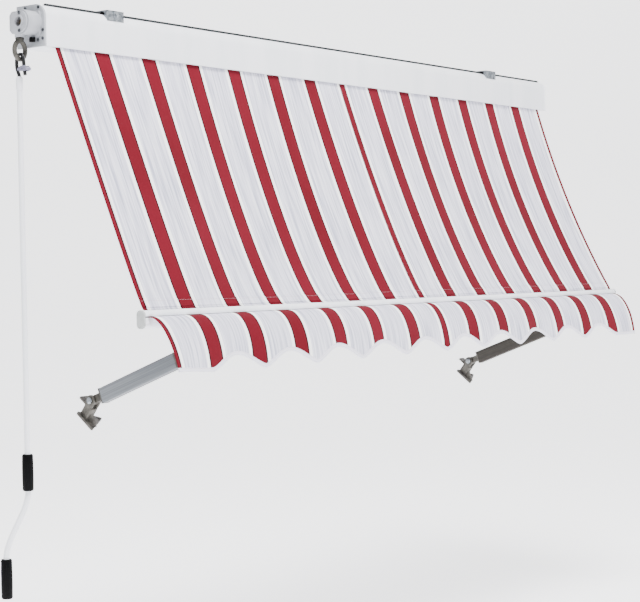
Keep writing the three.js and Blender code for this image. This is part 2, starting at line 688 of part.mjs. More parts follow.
function buildCrank() {
  const x = GEAR.x;
  const { y, z } = HOOK_AXIS;
  const r = EYE_RING.wire + CRANK.hookWire + 1.6;
  const shaftY = y + 4;
  const hook = bentRod(
    [
      [x, shaftY, FERRULE_TOP - 8],
      [x, shaftY, FERRULE_TOP + 2],
      [x, y + r - 1, z - 22],
      [x, y + r, z - 6],
      [x, y + r * 0.72, z + r * 0.72],
      [x, y, z + r],
      [x, y - r * 0.72, z + r * 0.72],
      [x, y - r, z - 4],
      [x, y - r - 2, z - 22],
      [x, y - r - 5, z - 40],
    ],
    CRANK.hookWire,
    28,
    10,
  );
  piece("crank_hook", hook, BLACK);
  const ferrule = cut(
    turned(x, shaftY, [
      [0, FERRULE_TOP - 34],
      [7.4, FERRULE_TOP - 34],
      [CRANK.ferrule, FERRULE_TOP - 28],
      [CRANK.ferrule, FERRULE_TOP - 4],
      [6.5, FERRULE_TOP],
      [0, FERRULE_TOP],
    ]),
    rod("z", FERRULE_TOP - 9, FERRULE_TOP + 2, x, shaftY, CRANK.hookWire + GAP, 16),
  );
  piece("crank_ferrule", ferrule, WHITE);

  const top = FERRULE_TOP - 34 - GAP;
  const { top: gripTop, end: gripEnd, bendEnd } = GRIP;
  const bend = [
    [x, shaftY, gripEnd],
    [x, shaftY, gripEnd - 12],
    [x - 5, shaftY, gripEnd - 38],
    [x - CRANK.offset / 2, shaftY, (gripEnd + bendEnd) / 2],
    [x - CRANK.offset + 5, shaftY, bendEnd + 38],
    [x - CRANK.offset, shaftY, bendEnd + 12],
    [x - CRANK.offset, shaftY, bendEnd],
  ];
  const straight = rod("z", gripEnd - 0.5, top, x, shaftY, CRANK.rod, 12);
  const handleEnd = bendEnd - GRIP.length + 6;
  const handle = rod("z", handleEnd, bendEnd + 0.5, x - CRANK.offset, shaftY, CRANK.rod, 12);
  piece("crank_rod", join(straight, bentRod(bend, CRANK.rod, 22), handle), WHITE);
  const grip = (gx, from, to, open) => {
    const outer = turned(gx, shaftY, [
      [0, from],
      [GRIP.neck, from],
      [GRIP.radius, from + 4],
      [GRIP.radius, to - 4],
      [GRIP.neck, to],
      [0, to],
    ]);
    const floor = open ? from - 1 : from + 4;
    return cut(outer, rod("z", floor, to + 1, gx, shaftY, CRANK.rod + 2 * GAP, 16));
  };
  piece("upper_grip", grip(x, gripEnd, gripTop, true), BLACK);
  const lower = grip(x - CRANK.offset, bendEnd - GRIP.length, bendEnd, false);
  piece("lower_grip", lower, BLACK);

  const pivot = { y: y - r - 2.4, z: z - 24 };
  const latch = alongX(
    outline([
      [pivot.y - 8, pivot.z - 6],
      [pivot.y + 5.5, pivot.z - 6],
      [pivot.y + 17, pivot.z - 3],
      [pivot.y + 17, pivot.z + 1],
      [pivot.y + 6, pivot.z + 7],
      [pivot.y - 8, pivot.z + 7],
      [pivot.y - 15, pivot.z + 1],
      [pivot.y - 15, pivot.z - 4],
    ]),
    x - 8,
    x + 8,
  );
  const slitHalf = CRANK.hookWire + 0.5;
  const slit = box(x - slitHalf, x + slitHalf, pivot.y - 12, pivot.y + 20, pivot.z - 12, pivot.z + 12);
  const bridge = box(x - 8, x + 8, pivot.y - 15, pivot.y - 8.5, pivot.z - 4, pivot.z + 1);
  const rivetHole = rod("x", x - 10, x + 10, pivot.y, pivot.z, 1.8, 12);
  piece("hook_latch", cut(join(cut(latch, slit), bridge), rivetHole), CLIP_PLASTIC);
}

buildCassette();
buildWallClip("left", CLIP.left);
buildWallClip("right", CLIP.right);
buildRoller();
buildGearbox();
buildEyeShaft();
buildCloth();
buildBar();
for (const [name, x] of [["left", ARM.left], ["right", ARM.right]]) {
  buildArm(name, x);
  buildHanger(name, x);
  buildBracket(name, x);
}
buildCrank();

export default GROUP;
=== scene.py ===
"""Looks of a drop-arm window awning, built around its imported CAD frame.

The row frame has X along the wall, -Y away from it and +Z up, all in metres.
"""

import sys

import json
import logging
import math
from collections.abc import Callable, Iterable, Sequence
from dataclasses import dataclass
from enum import Enum

import bmesh
import bpy
from mathutils import Matrix, Vector

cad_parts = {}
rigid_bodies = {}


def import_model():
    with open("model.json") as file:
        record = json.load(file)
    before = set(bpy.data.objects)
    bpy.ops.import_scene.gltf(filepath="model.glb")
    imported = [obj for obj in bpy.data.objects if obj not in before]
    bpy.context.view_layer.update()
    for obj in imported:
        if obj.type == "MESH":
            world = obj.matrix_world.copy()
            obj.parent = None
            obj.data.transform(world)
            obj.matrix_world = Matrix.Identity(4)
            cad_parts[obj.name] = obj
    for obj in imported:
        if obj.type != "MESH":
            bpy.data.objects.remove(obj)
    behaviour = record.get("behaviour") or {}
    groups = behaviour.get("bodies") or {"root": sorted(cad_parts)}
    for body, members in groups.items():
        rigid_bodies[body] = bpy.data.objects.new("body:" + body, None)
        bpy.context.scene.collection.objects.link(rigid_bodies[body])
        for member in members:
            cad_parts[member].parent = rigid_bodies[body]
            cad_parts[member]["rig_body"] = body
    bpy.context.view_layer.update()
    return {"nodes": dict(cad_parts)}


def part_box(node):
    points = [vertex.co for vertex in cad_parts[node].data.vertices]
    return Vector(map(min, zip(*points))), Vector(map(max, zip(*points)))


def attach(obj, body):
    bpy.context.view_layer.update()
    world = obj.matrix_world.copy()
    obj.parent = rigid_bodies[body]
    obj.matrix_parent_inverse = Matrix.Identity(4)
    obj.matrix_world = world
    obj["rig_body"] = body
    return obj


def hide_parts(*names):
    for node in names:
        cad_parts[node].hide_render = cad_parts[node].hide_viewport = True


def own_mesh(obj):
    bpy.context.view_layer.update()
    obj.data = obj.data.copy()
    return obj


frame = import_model()
LOG = logging.getLogger("awning")
Colour = tuple[float, float, float, float]
Pair = tuple[float, float]
Source = bpy.types.Node | bpy.types.NodeSocket
Inputs = dict[str | int, object]
Stops = Sequence[tuple[float, str]]

# Node and socket kinds that the trees use often.
MATH, VECTOR_MATH, MIX = "ShaderNodeMath", "ShaderNodeVectorMath", "ShaderNodeMix"
NOISE, RAMP, MAPPING = "ShaderNodeTexNoise", "ShaderNodeValToRGB", "ShaderNodeMapping"
TRANSFORM, INSTANCES = "GeometryNodeTransform", "GeometryNodeInstanceOnPoints"
SPHERE, ALIGN = "GeometryNodeMeshUVSphere", "FunctionNodeAlignRotationToVector"
FLOAT, INT, VECTOR = "NodeSocketFloat", "NodeSocketInt", "NodeSocketVector"

# Points nearer than this are one point, and faces that turn less than this are one face.
WELD, FLAT = 2e-6, math.radians(0.5)

# Every seam's stitches, in metres.
STITCH = {"Spacing": 0.006, "Length": 0.0042, "Radius": 0.0003}


def linear(code: str) -> Colour:
    """Turns an sRGB hex colour into linear RGBA.

    Args:
        code: six hex digits, with or without a leading #.

    Returns:
        The linear colour with alpha 1.
    """
    digits = code.lstrip("#")
    shares = [int(digits[i : i + 2], 16) / 255 for i in (0, 2, 4)]
    red, green, blue = [
        v / 12.92 if v <= 0.04045 else ((v + 0.055) / 1.055) ** 2.4 for v in shares
    ]
    return (red, green, blue, 1.0)


def add_node(
    tree: bpy.types.NodeTree,
    kind: str,
    inputs: Inputs | None = None,
    stops: Stops = (),
    **settings: object,
) -> bpy.types.Node:
    """Adds a node, sets it and feeds its sockets.

    Args:
        tree: the node tree it goes into.
        kind: the node's type identifier.
        inputs: a socket's name or index to its value, or to the socket or node that feeds it.
        stops: a colour ramp's places and sRGB hex colours.
        settings: the node's own properties.

    Returns:
        The new node.
    """
    node = tree.nodes.new(kind)
    for name, value in settings.items():
        setattr(node, name, value)
    for key, value in (inputs or {}).items():
        if isinstance(value, bpy.types.Node):
            value = value.outputs[0]
        if isinstance(value, bpy.types.NodeSocket):
            tree.links.new(value, node.inputs[key])
        else:
            node.inputs[key].default_value = value
    for number, (place, code) in enumerate(stops):
        elements = node.color_ramp.elements
        stop = elements[number] if number < 2 else elements.new(place)
        stop.position = place
        stop.color = linear(code)
    return node


# ---- finishes ----


@dataclass(frozen=True)
class Finish:
    """What every finish shares: its name, its colour and how it answers light."""

    name: str
    colour: str
    roughness: float
    metallic: float = 0.0

    def material(self) -> bpy.types.Material:
        """Builds the finish's material, once.

        Returns:
            The material.
        """
        found = bpy.data.materials.get(self.name)
        if found:
            return found
        made = bpy.data.materials.new(self.name)
        made.use_nodes = True
        tree = made.node_tree
        tree.nodes.clear()
        coords = add_node(tree, "ShaderNodeTexCoord").outputs["Object"]
        plain = {
            "Base Color": linear(self.colour),
            "Roughness": self.roughness,
            "Metallic": self.metallic,
        }
        shader = add_node(tree, "ShaderNodeBsdfPrincipled", plain | self.texture(tree, coords))
        add_node(tree, "ShaderNodeOutputMaterial", {"Surface": shader})
        return made

    def texture(self, tree: bpy.types.NodeTree, coords: bpy.types.NodeSocket) -> Inputs:
        """Makes the finish's own pattern.

        Args:
            tree: the material's nodes.
            coords: object coordinates, in metres.

        Returns:
            The shader's inputs that the pattern sets or feeds.
        """
        raise NotImplementedError

    def patches(
        self,
        tree: bpy.types.NodeTree,
        place: Source,
        stops: Stops,
        detail: float,
        scale: float = 1.0,
    ) -> tuple[bpy.types.Node, bpy.types.Node]:
        """Makes soft patches of colour.

        Args:
            tree: the material's nodes.
            place: where the noise is read.
            stops: the ramp's places and colours.
            detail: the noise's detail.
            scale: the noise's scale.

        Returns:
            The noise and the colour.
        """
        noise = add_node(tree, NOISE, {"Vector": place, "Scale": scale, "Detail": detail})
        return noise, add_node(tree, RAMP, {"Fac": noise}, stops=stops)

    def relief(
        self, tree: bpy.types.NodeTree, height: Source, strength: float, deep: float
    ) -> bpy.types.Node:
        """Turns a height into a bump.

        Args:
            tree: the material's nodes.
            height: the height, from 0 to 1.
            strength: the share of the bump that counts.
            deep: how far 1 stands out, in metres.

        Returns:
            The bump.
        """
        size = {"Height": height, "Strength": strength, "Distance": deep}
        return add_node(tree, "ShaderNodeBump", size)

    def gloss(
        self, tree: bpy.types.NodeTree, value: Source, less: float, more: float
    ) -> bpy.types.Node:
        """Varies the roughness.

        Args:
            tree: the material's nodes.
            value: what it follows, from 0 to 1.
            less: how far it falls below the finish's own.
            more: how far it rises above it.

        Returns:
            The roughness.
        """
        ends = {"To Min": self.roughness - less, "To Max": self.roughness + more}
        return add_node(tree, "ShaderNodeMapRange", {"Value": value} | ends)


@dataclass(frozen=True)
class PowderCoat(Finish):
    """Polyester powder coat on aluminium: satin, with a faint orange peel."""

    soiled: str = "#E9EDF2"
    peel: float = 0.0016
    streak: tuple[float, float, float] = (14.0, 14.0, 1.6)

    def texture(self, tree: bpy.types.NodeTree, coords: bpy.types.NodeSocket) -> Inputs:
        """Makes the orange peel and the faint streaks that rain leaves.

        Args:
            tree: the material's nodes.
            coords: object coordinates, in metres.

        Returns:
            The shader's inputs.
        """
        streaks = add_node(tree, MAPPING, {"Vector": coords, "Scale": self.streak})
        stops = [(0.42, self.colour), (0.72, self.soiled)]
        grime, tone = self.patches(tree, streaks, stops, detail=4.0)
        peel = add_node(tree, NOISE, {"Vector": coords, "Scale": 1 / self.peel, "Detail": 1.0})
        return {
            "Base Color": tone,
            "Roughness": self.gloss(tree, grime, less=0.05, more=0.09),
            "Normal": self.relief(tree, peel, strength=0.12, deep=0.0004),
        }


@dataclass(frozen=True)
class ZincPlate(Finish):
    """Zinc-coated steel, with frost-like spangles."""

    dull: str = "#7F858B"
    spangle: float = 0.007

    def texture(self, tree: bpy.types.NodeTree, coords: bpy.types.NodeSocket) -> Inputs:
        """Makes the spangles in the colour and the gloss.

        Args:
            tree: the material's nodes.
            coords: object coordinates, in metres.

        Returns:
            The shader's inputs.
        """
        size = {"Vector": coords, "Scale": 1 / self.spangle}
        cells = add_node(tree, "ShaderNodeTexVoronoi", size)
        grey = add_node(tree, "ShaderNodeRGBToBW", {"Color": cells.outputs["Color"]})
        tone = add_node(tree, RAMP, {"Fac": grey}, stops=[(0.2, self.dull), (0.8, self.colour)])
        return {"Base Color": tone, "Roughness": self.gloss(tree, grey, less=0.08, more=0.14)}


@dataclass(frozen=True)
class DieCast(Finish):
    """Die-cast metal left raw, with a fine, slightly pitted skin."""

    dark: str = "#7A756C"
    grain: float = 0.0022

    def texture(self, tree: bpy.types.NodeTree, coords: bpy.types.NodeSocket) -> Inputs:
        """Makes flow marks in the colour and a cast grain on the surface.

        Args:
            tree: the material's nodes.
            coords: object coordinates, in metres.

        Returns:
            The shader's inputs.
        """
        stops = [(0.34, self.dark), (0.62, self.colour)]
        tone = self.patches(tree, coords, stops, detail=5.0, scale=45.0)[1]
        grain = add_node(tree, NOISE, {"Vector": coords, "Scale": 1 / self.grain, "Detail": 3.0})
        bump = self.relief(tree, grain, strength=0.35, deep=0.0005)
        return {"Base Color": tone, "Normal": bump}


@dataclass(frozen=True)
class MillAluminium(Finish):
    """Extruded aluminium as it leaves the mill: dull, with die lines along the tube."""

    dark: str = "#5D6166"
    slope: float = math.radians(20.3)
    line: float = 0.0024

    def texture(self, tree: bpy.types.NodeTree, coords: bpy.types.NodeSocket) -> Inputs:
        """Makes die lines along the sloping tube, drawn some 2 mm apart so that they show.

        Args:
            tree: the material's nodes.
            coords: object coordinates, in metres.

        Returns:
            The shader's inputs.
        """
        slope = {"Vector": coords, "Rotation": (self.slope, 0.0, 0.0)}
        turned = add_node(tree, MAPPING, slope)
        size = {"Vector": turned, "Scale": (1 / self.line, 3.0, 1 / self.line)}
        along = add_node(tree, MAPPING, size)
        stops = [(0.3, self.dark), (0.66, self.colour)]
        lines, tone = self.patches(tree, along, stops, detail=2.0)
        bump = self.relief(tree, lines, strength=0.08, deep=0.0003)
        return {"Base Color": tone, "Normal": bump}


@dataclass(frozen=True)
class Moulded(Finish):
    """Injection-moulded plastic, rubber or enamel with the fine grain of its mould."""

    worn: str = "#2A2A2E"
    grain: float = 0.0012
    shine: float = 0.5

    def texture(self, tree: bpy.types.NodeTree, coords: bpy.types.NodeSocket) -> Inputs:
        """Makes handling marks in the colour and the mould's grain on the surface.

        Args:
            tree: the material's nodes.
            coords: object coordinates, in metres.

        Returns:
            The shader's inputs.
        """
        stops = [(0.45, self.colour), (0.8, self.worn)]
        tone = self.patches(tree, coords, stops, detail=3.0, scale=60.0)[1]
        grain = add_node(tree, NOISE, {"Vector": coords, "Scale": 1 / self.grain, "Detail": 1.0})
        return {
            "Base Color": tone,
            "Normal": self.relief(tree, grain, strength=0.2, deep=0.0003),
            "Specular IOR Level": self.shine,
        }


@dataclass(frozen=True)
class StripedCanvas(Finish):
    """Solution-dyed acrylic canvas with woven stripes: matt, with a soft sheen of fibres.

    Two panels meet at a seam, and the stripes run out from it on both sides alike.
    """

    colour_light: str = "#690E20"
    middle: float = 0.0
    repeat: float = 0.17143
    first: float = 0.0125
    stripe_half: float = 0.027
    border: float = 0.0115
    ground_dark: str = "#A9AABC"
    ground: str = "#CFCEDC"
    ground_light: str = "#E2E1EB"
    border_white: str = "#FFFFFF"
    edge: str = "#25040A"
    edge_width: float = 0.0045
    blend: float = 0.006
    pin: float = 0.0055
    slub: float = 0.15
    thread: float = 0.0022
    pin_height: float = 0.8
    sheen: float = 0.04
    shine: float = 0.06

    def texture(self, tree: bpy.types.NodeTree, coords: bpy.types.NodeSocket) -> Inputs:
        """Makes the stripes across X, the slubs between them and the plain weave.

        Args:
            tree: the material's nodes.
            coords: object coordinates, in metres.

        Returns:
            The shader's inputs.
        """
        # Slubs in the warp: fine grey streaks some 15 cm long, drawn coarse so that they show.
        size = (1 / self.pin, 1 / self.slub, 1 / self.slub)
        warp = add_node(tree, MAPPING, {"Vector": coords, "Scale": size})
        greys = [(0.32, self.ground_dark), (0.5, self.ground), (0.66, self.ground_light)]
        pins, ground = self.patches(tree, warp, greys, detail=2.0)
        reds = [(0.3, self.colour), (0.75, self.colour_light)]
        colour: Source = self.patches(tree, coords, reds, detail=3.0, scale=3.0)[1]
        share = self.share(tree, coords)
        half = self.repeat / 2
        for start, after in (
            (self.stripe_half - self.edge_width, linear(self.edge)),
            (self.stripe_half, linear(self.border_white)),
            (self.stripe_half + self.border, ground),
        ):
            ends = {"From Min": start / half - self.blend, "From Max": start / half + self.blend}
            past = add_node(tree, "ShaderNodeMapRange", {"Value": share} | ends)
            parts = {"Factor": past, 6: colour, 7: after}
            colour = add_node(tree, MIX, parts, data_type="RGBA").outputs[2]
        return {
            "Base Color": colour,
            "Normal": self.weave(tree, pins),
            "Sheen Weight": self.sheen,
            "Sheen Roughness": 0.5,
            "Specular IOR Level": self.shine,
        }

    def share(self, tree: bpy.types.NodeTree, coords: bpy.types.NodeSocket) -> bpy.types.Node:
        """Measures how far a place is from the nearest stripe's middle.

        Args:
            tree: the material's nodes.
            coords: object coordinates, in metres.

        Returns:
            The distance, as a share of half the repeat.
        """
        across = add_node(tree, "ShaderNodeSeparateXYZ", {"Vector": coords})
        offset = add_node(tree, MATH, {0: across, 1: self.middle}, operation="SUBTRACT")
        away = add_node(tree, MATH, {0: offset}, operation="ABSOLUTE")
        shifted = add_node(tree, MATH, {0: away, 1: self.first}, operation="ADD")
        place = add_node(tree, MATH, {0: shifted, 1: self.repeat / 2}, operation="PINGPONG")
        return add_node(tree, MATH, {0: place, 1: self.repeat / 2}, operation="DIVIDE")

    def weave(self, tree: bpy.types.NodeTree, pins: bpy.types.Node) -> bpy.types.Node:
        """Makes the plain weave on the cloth's own lengths.

        Args:
            tree: the material's nodes.
            pins: the slubs, which stand a little proud.

        Returns:
            The bump.
        """
        lengths = add_node(tree, "ShaderNodeUVMap", uv_map="UVMap")
        parts = add_node(tree, "ShaderNodeSeparateXYZ", {"Vector": lengths})
        waves = []
        for part in parts.outputs[:2]:
            turn = {0: part, 1: math.pi / self.thread}
            angle = add_node(tree, MATH, turn, operation="MULTIPLY")
            waves.append(add_node(tree, MATH, {0: angle}, operation="SINE"))
        threads = add_node(tree, MATH, {0: waves[0], 1: waves[1]}, operation="MULTIPLY")
        rise = {0: pins, 1: self.pin_height, 2: threads}
        height = add_node(tree, MATH, rise, operation="MULTIPLY_ADD")
        return self.relief(tree, height, strength=0.25, deep=0.0003)


@dataclass(frozen=True)
class WovenTape(Finish):
    """Polyester tape or thread, ribbed across its length."""

    rib: float = 0.003
    sheen: float = 0.1

    def texture(self, tree: bpy.types.NodeTree, coords: bpy.types.NodeSocket) -> Inputs:
        """Makes the ribs, drawn coarse so that they show.

        Args:
            tree: the material's nodes.
            coords: object coordinates, in metres.

        Returns:
            The shader's inputs.
        """
        size = {"Vector": coords, "Scale": 1 / self.rib / 3, "Distortion": 0.4}
        ribs = add_node(tree, "ShaderNodeTexWave", size, bands_direction="X")
        return {
            "Normal": self.relief(tree, ribs.outputs[1], strength=0.2, deep=0.0004),
            "Sheen Weight": self.sheen,
        }


@dataclass(frozen=True)
class Paper(Finish):
    """Matt backdrop paper, lit from within a little so that it stays paler than what is on it."""

    glow: float = 1.5

    def texture(self, tree: bpy.types.NodeTree, coords: bpy.types.NodeSocket) -> Inputs:
        """Makes the glow, which has no pattern.

        Args:
            tree: the material's nodes.
            coords: object coordinates, in metres.

        Returns:
            The shader's inputs.
        """
        return {"Emission Color": linear("#FFFFFF"), "Emission Strength": self.glow}


class Finishes(Enum):
    """The awning's finishes: one for each real material, a copy of the arms' aluminium with
    painted shade, and the floor's.
    """

    # The housing, the bar and the crank: clean, cool white that takes soft highlights.
    WHITE = PowderCoat("powder_coated_aluminium", "#F4F5FA", 0.34)
    # The left end plate and the gearbox: a mid grey that sets them off from the white.
    SILVER = PowderCoat("silver_grey_coated_casting", "#A9ABB1", 0.4, soiled="#8C8F94")
    # The wall clips, pins and bolts: mottled, blue-grey and bright at the edges.
    ZINC = ZincPlate("galvanised_steel", "#A6ABB0", 0.38, 1.0, dull="#6A7076")
    # The screws in the end plate and the gearbox: small dark spots.
    SCREW = ZincPlate("blackened_screw_steel", "#55575B", 0.45, 1.0, dull="#37393C", spangle=0.003)
    # The brackets, eyes and hangers: warm, dull grey with a cast skin.
    CAST = DieCast("die_cast_aluminium", "#605D57", 0.55, 0.5, dark="#3E3C38")
    # The left arm's tube: cool grey, with lines along it.
    LEFT_ARM = MillAluminium("mill_finish_aluminium", "#7C8084", 0.46, 0.7, dark="#63676C")
    # The right arm's tube: the same mill aluminium as the left arm, painted browner and darker as
    # painted shade.
    RIGHT_ARM = MillAluminium("mill_aluminium_painted_shade", "#39352F", 0.62, 0.4, dark="#2B2824")
    # The grips, the limit cap and the plugs: almost no reflection, so that they read as black.
    BLACK = Moulded("black_nylon", "#020203", 0.5, worn="#08080A", shine=0.08)
    # The bar's end caps: a shade darker than the coat beside them.
    GREY = Moulded("grey_nylon", "#B4B7B6", 0.5, worn="#A0A3A2")
    # The hook's sprung latch: the one faintly violet spot.
    LATCH = Moulded("violet_grey_nylon", "#7B798E", 0.45, worn="#656377")
    # The strip along the top: a thin dark line.
    SEAL = Moulded("epdm_rubber", "#1D1E21", 0.7, worn="#303236", shine=0.3)
    # The crank's hook: black with a hard gloss.
    ENAMEL = Moulded("black_enamelled_steel", "#0B0B0D", 0.28, worn="#141417", grain=0.003)
    # The worm wheel, inside: yellow metal.
    BRONZE = DieCast("gear_bronze", "#A8854C", 0.4, 1.0, dark="#7E6236")
    # The canopy and the valance: deep red stripes, dark at their edges, on a lilac-white ground.
    CANVAS = StripedCanvas("striped_acrylic_canvas", "#5C0716", 0.85, middle=0.97)
    # The valance's binding: a ribbed, lilac-white line along the scallops.
    TAPE = WovenTape("polyester_bias_tape", "#E6E4F0", 0.8)
    # The stitching: fine pale dots along each seam.
    THREAD = WovenTape("polyester_thread", "#C3A3AA", 0.6, rib=0.0012)
    # The floor and its backdrop: almost white and quite even.
    PAPER = Paper("pale_paper", "#FCFCFE", 0.9)

    def material(self) -> bpy.types.Material:
        """Returns the finish's material."""
        return self.value.material()


# ---- meshes ----


def new_piece(name: str, bm: bmesh.types.BMesh, finish: Finishes) -> bpy.types.Object:
    """Turns a bmesh into a linked object with one finish.

    Args:
        name: the new object's name.
        bm: the mesh, freed afterwards.
        finish: its finish.

    Returns:
        The object, at the origin.
    """
    mesh = bpy.data.meshes.new(name)
    bm.to_mesh(mesh)
    bm.free()
    mesh.materials.append(finish.material())
    piece = bpy.data.objects.new(name, mesh)
    bpy.context.scene.collection.objects.link(piece)
    return piece


def settle(piece: bpy.types.Object) -> bpy.types.Object:
    """Applies a piece's modifiers and leaves a plain mesh.

    Args:
        piece: an object with live modifiers.

    Returns:
        The same object with its evaluated mesh and no modifiers.
    """
    depsgraph = bpy.context.evaluated_depsgraph_get()
    piece.data = bpy.data.meshes.new_from_object(
        piece.evaluated_get(depsgraph), depsgraph=depsgraph
    )
    piece.modifiers.clear()
    piece.data.name = piece.name
    return piece


def report(piece: bpy.types.Object, *replaced: str, slot: str = "") -> bpy.types.Object:
    """Hides the CAD nodes that a piece stands in for, and logs its face count.

    Args:
        piece: a finished piece that already rides on its body.
        replaced: the CAD nodes it stands for.
        slot: not used.

    Returns:
        The piece.
    """
    if replaced:
        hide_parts(*replaced)
    LOG.info("%s: %d faces", piece.name, len(piece.data.polygons))
    return piece


def refine(
    node: str, finish: Finishes, slot: str, bevel: float, smooth: float = 34.0
) -> bpy.types.Object:
    """Stands a bevelled, smoothly shaded copy in for a CAD node.

    Args:
        node: the CAD node's name.
        finish: the copy's finish.
        slot: the record's material slot.
        bevel: the rounded edge's width, in metres.
        smooth: the angle in degrees above which an edge stays an edge.

    Returns:
        The copy, riding on the node's body.
    """
    source = frame["nodes"][node]
    bm = bmesh.new()
    bm.from_mesh(source.data)
    bmesh.ops.remove_doubles(bm, verts=bm.verts, dist=WELD)
    bmesh.ops.dissolve_limit(bm, angle_limit=FLAT, verts=bm.verts, edges=bm.edges)
    piece = new_piece(f"fine_{node}", bm, finish)
    rounding = piece.modifiers.new("rounding", "BEVEL")
    rounding.width = bevel
    rounding.segments = 2
    rounding.angle_limit = math.radians(smooth)
    settle(piece)
    piece.data.shade_smooth()
    piece.data.set_sharp_from_angle(angle=math.radians(smooth))
    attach(piece, source["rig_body"])
    return report(piece, node, slot=slot)


def dress(finish: Finishes, *nodes: str) -> None:
    """Gives CAD nodes that stay as they are their finish.

    Args:
        finish: the finish.
        nodes: the nodes' names.
    """
    for node in nodes:
        mesh = frame["nodes"][node].data
        mesh.materials.clear()
        mesh.materials.append(finish.material())


def fill(
    bm: bmesh.types.BMesh,
    grid: list[list[bmesh.types.BMVert]],
    layer: bmesh.types.BMLayerItem,
    flat: dict[bmesh.types.BMVert, Pair],
    turned: bool = False,
) -> None:
    """Fills a grid of vertices with smooth faces and writes their flat lengths.

    Args:
        bm: the mesh.
        grid: the columns of vertices.
        layer: the UV layer.
        flat: each vertex to its place on the flat cloth.
        turned: whether the faces look the other way.
    """
    for left, right in zip(grid, grid[1:]):
        for row in range(len(left) - 1):
            corners = [left[row], right[row], right[row + 1], left[row + 1]]
            if turned:
                corners = [corners[0], *corners[:0:-1]]
            face = bm.faces.new(corners)
            face.smooth = True
            for loop in face.loops:
                loop[layer].uv = flat[loop.vert]


def thicken(piece: bpy.types.Object, thick: float, even: bool = False) -> bpy.types.Object:
    """Gives a sheet its thickness, half on each side.

    Args:
        piece: the sheet, as a surface.
        thick: its thickness.
        even: whether bends keep the thickness too.

    Returns:
        The sheet.
    """
    wall = piece.modifiers.new("thickness", "SOLIDIFY")
    wall.thickness = thick
    wall.offset = 0.0
    wall.use_even_offset = even
    return settle(piece)


def ribbon(
    name: str,
    finish: Finishes,
    columns: Sequence[float],
    path: Callable[[float, float], Pair],
    span: Callable[[float], Pair],
    rows: int,
    thick: float,
) -> bpy.types.Object:
    """Builds a thin sheet from columns across X, each following a path in Y and Z.

    Args:
        name: the piece's name.
        finish: its finish.
        columns: the columns' X.
        path: X and the length along the cloth to Y and Z.
        span: X to the first and last length along the cloth.
        rows: how many steps each column has.
        thick: the sheet's thickness.

    Returns:
        A closed sheet, with its flat lengths in its UV map.
    """
    bm = bmesh.new()
    layer = bm.loops.layers.uv.new("UVMap")
    grid, flat = [], {}
    for x in columns:
        first, last = span(x)
        line = []
        for row in range(rows + 1):
            length = first + (last - first) * row / rows
            vertex = bm.verts.new((x, *path(x, length)))
            flat[vertex] = (x - columns[0], length)
            line.append(vertex)
        grid.append(line)
    fill(bm, grid, layer, flat, turned=True)
    return thicken(new_piece(name, bm, finish), thick, even=True)


def spaced(low: float, high: float, count: int) -> list[float]:
    """Returns count + 1 evenly spaced numbers from low to high."""
    return [low + (high - low) * i / count for i in range(count + 1)]


def lengths(points: Sequence[Pair]) -> list[float]:
    """Adds up the length of a line.

    Args:
        points: the line's points.

    Returns:
        The length up to each point.
    """
    ends = [0.0]
    for before, after in zip(points, points[1:]):
        ends.append(ends[-1] + math.dist(before, after))
    return ends


def polyline(name: str, lines: Iterable[Sequence[Vector]]) -> bpy.types.Object:
    """Builds a mesh of bare edges for a rule to follow.

    Args:
        name: the object's name.
        lines: the lines' points.

    Returns:
        The object.
    """
    points: list[Vector] = []
    edges: list[tuple[int, int]] = []
    for line in lines:
        start = len(points)
        points += line
        edges += [(start + i, start + i + 1) for i in range(len(line) - 1)]
    mesh = bpy.data.meshes.new(name)
    mesh.from_pydata(points, edges, [])
    made = bpy.data.objects.new(name, mesh)
    bpy.context.scene.collection.objects.link(made)
    return made


# ---- rules made of Geometry Nodes ----


class Rule:
    """A Geometry Nodes tree with named inputs, run once on a piece and then taken off it."""

    label = ""
    inputs: dict[str, str] = {}

    def __init__(self) -> None:
        """Makes the tree and its inputs."""
        self.tree = bpy.data.node_groups.new(self.label, "GeometryNodeTree")
        face = self.tree.interface
        for way in ("INPUT", "OUTPUT"):
            face.new_socket("Geometry", in_out=way, socket_type="NodeSocketGeometry")
        self.keys = {
            label: face.new_socket(label, in_out="INPUT", socket_type=kind).identifier
            for label, kind in {**self.inputs, "Finish": "NodeSocketMaterial"}.items()
        }
        self.given = add_node(self.tree, "NodeGroupInput").outputs
        self.build()

    def build(self) -> None:
        """Adds the rule's own nodes."""
        raise NotImplementedError

    def end(self, geometry: bpy.types.Node) -> None:
        """Makes instances real, sets the finish and ends the tree.

        Args:
            geometry: what the rule has made.
        """
        real = add_node(self.tree, "GeometryNodeRealizeInstances", {0: geometry})
        dressed = {"Geometry": real, "Material": self.given["Finish"]}
        painted = add_node(self.tree, "GeometryNodeSetMaterial", dressed)
        add_node(self.tree, "NodeGroupOutput", {0: painted})

    def run(
        self, source: bpy.types.Object, name: str, finish: Finishes, **values: object
    ) -> bpy.types.Object:
        """Runs the rule on an object and keeps the result as a plain mesh.

        Args:
            source: what the rule starts from, which takes the result.
            name: the piece's name.
            finish: its finish.
            values: the inputs, with _ for each space in their names.

        Returns:
            The piece, with no modifier.
        """
        source.name = name
        step = source.modifiers.new(self.tree.name, "NODES")
        step.node_group = self.tree
        for label, value in {**values, "Finish": finish.material()}.items():
            step[self.keys[label.replace("_", " ")]] = value
        return settle(source)


# How deep the canopy hangs across its width, as shares of the deepest: the tight side hems and
# the doubled seam in the middle hold it up.
SAG_ACROSS = (
    (0.0, 0.2), (0.07, 0.26), (0.15, 0.56), (0.215, 0.82), (0.29, 0.95), (0.36, 0.93),
    (0.43, 0.7), (0.5, 0.62), (0.57, 0.65), (0.64, 0.86), (0.72, 1.0), (0.86, 1.0),
    (0.93, 0.9), (1.0, 0.72),
)


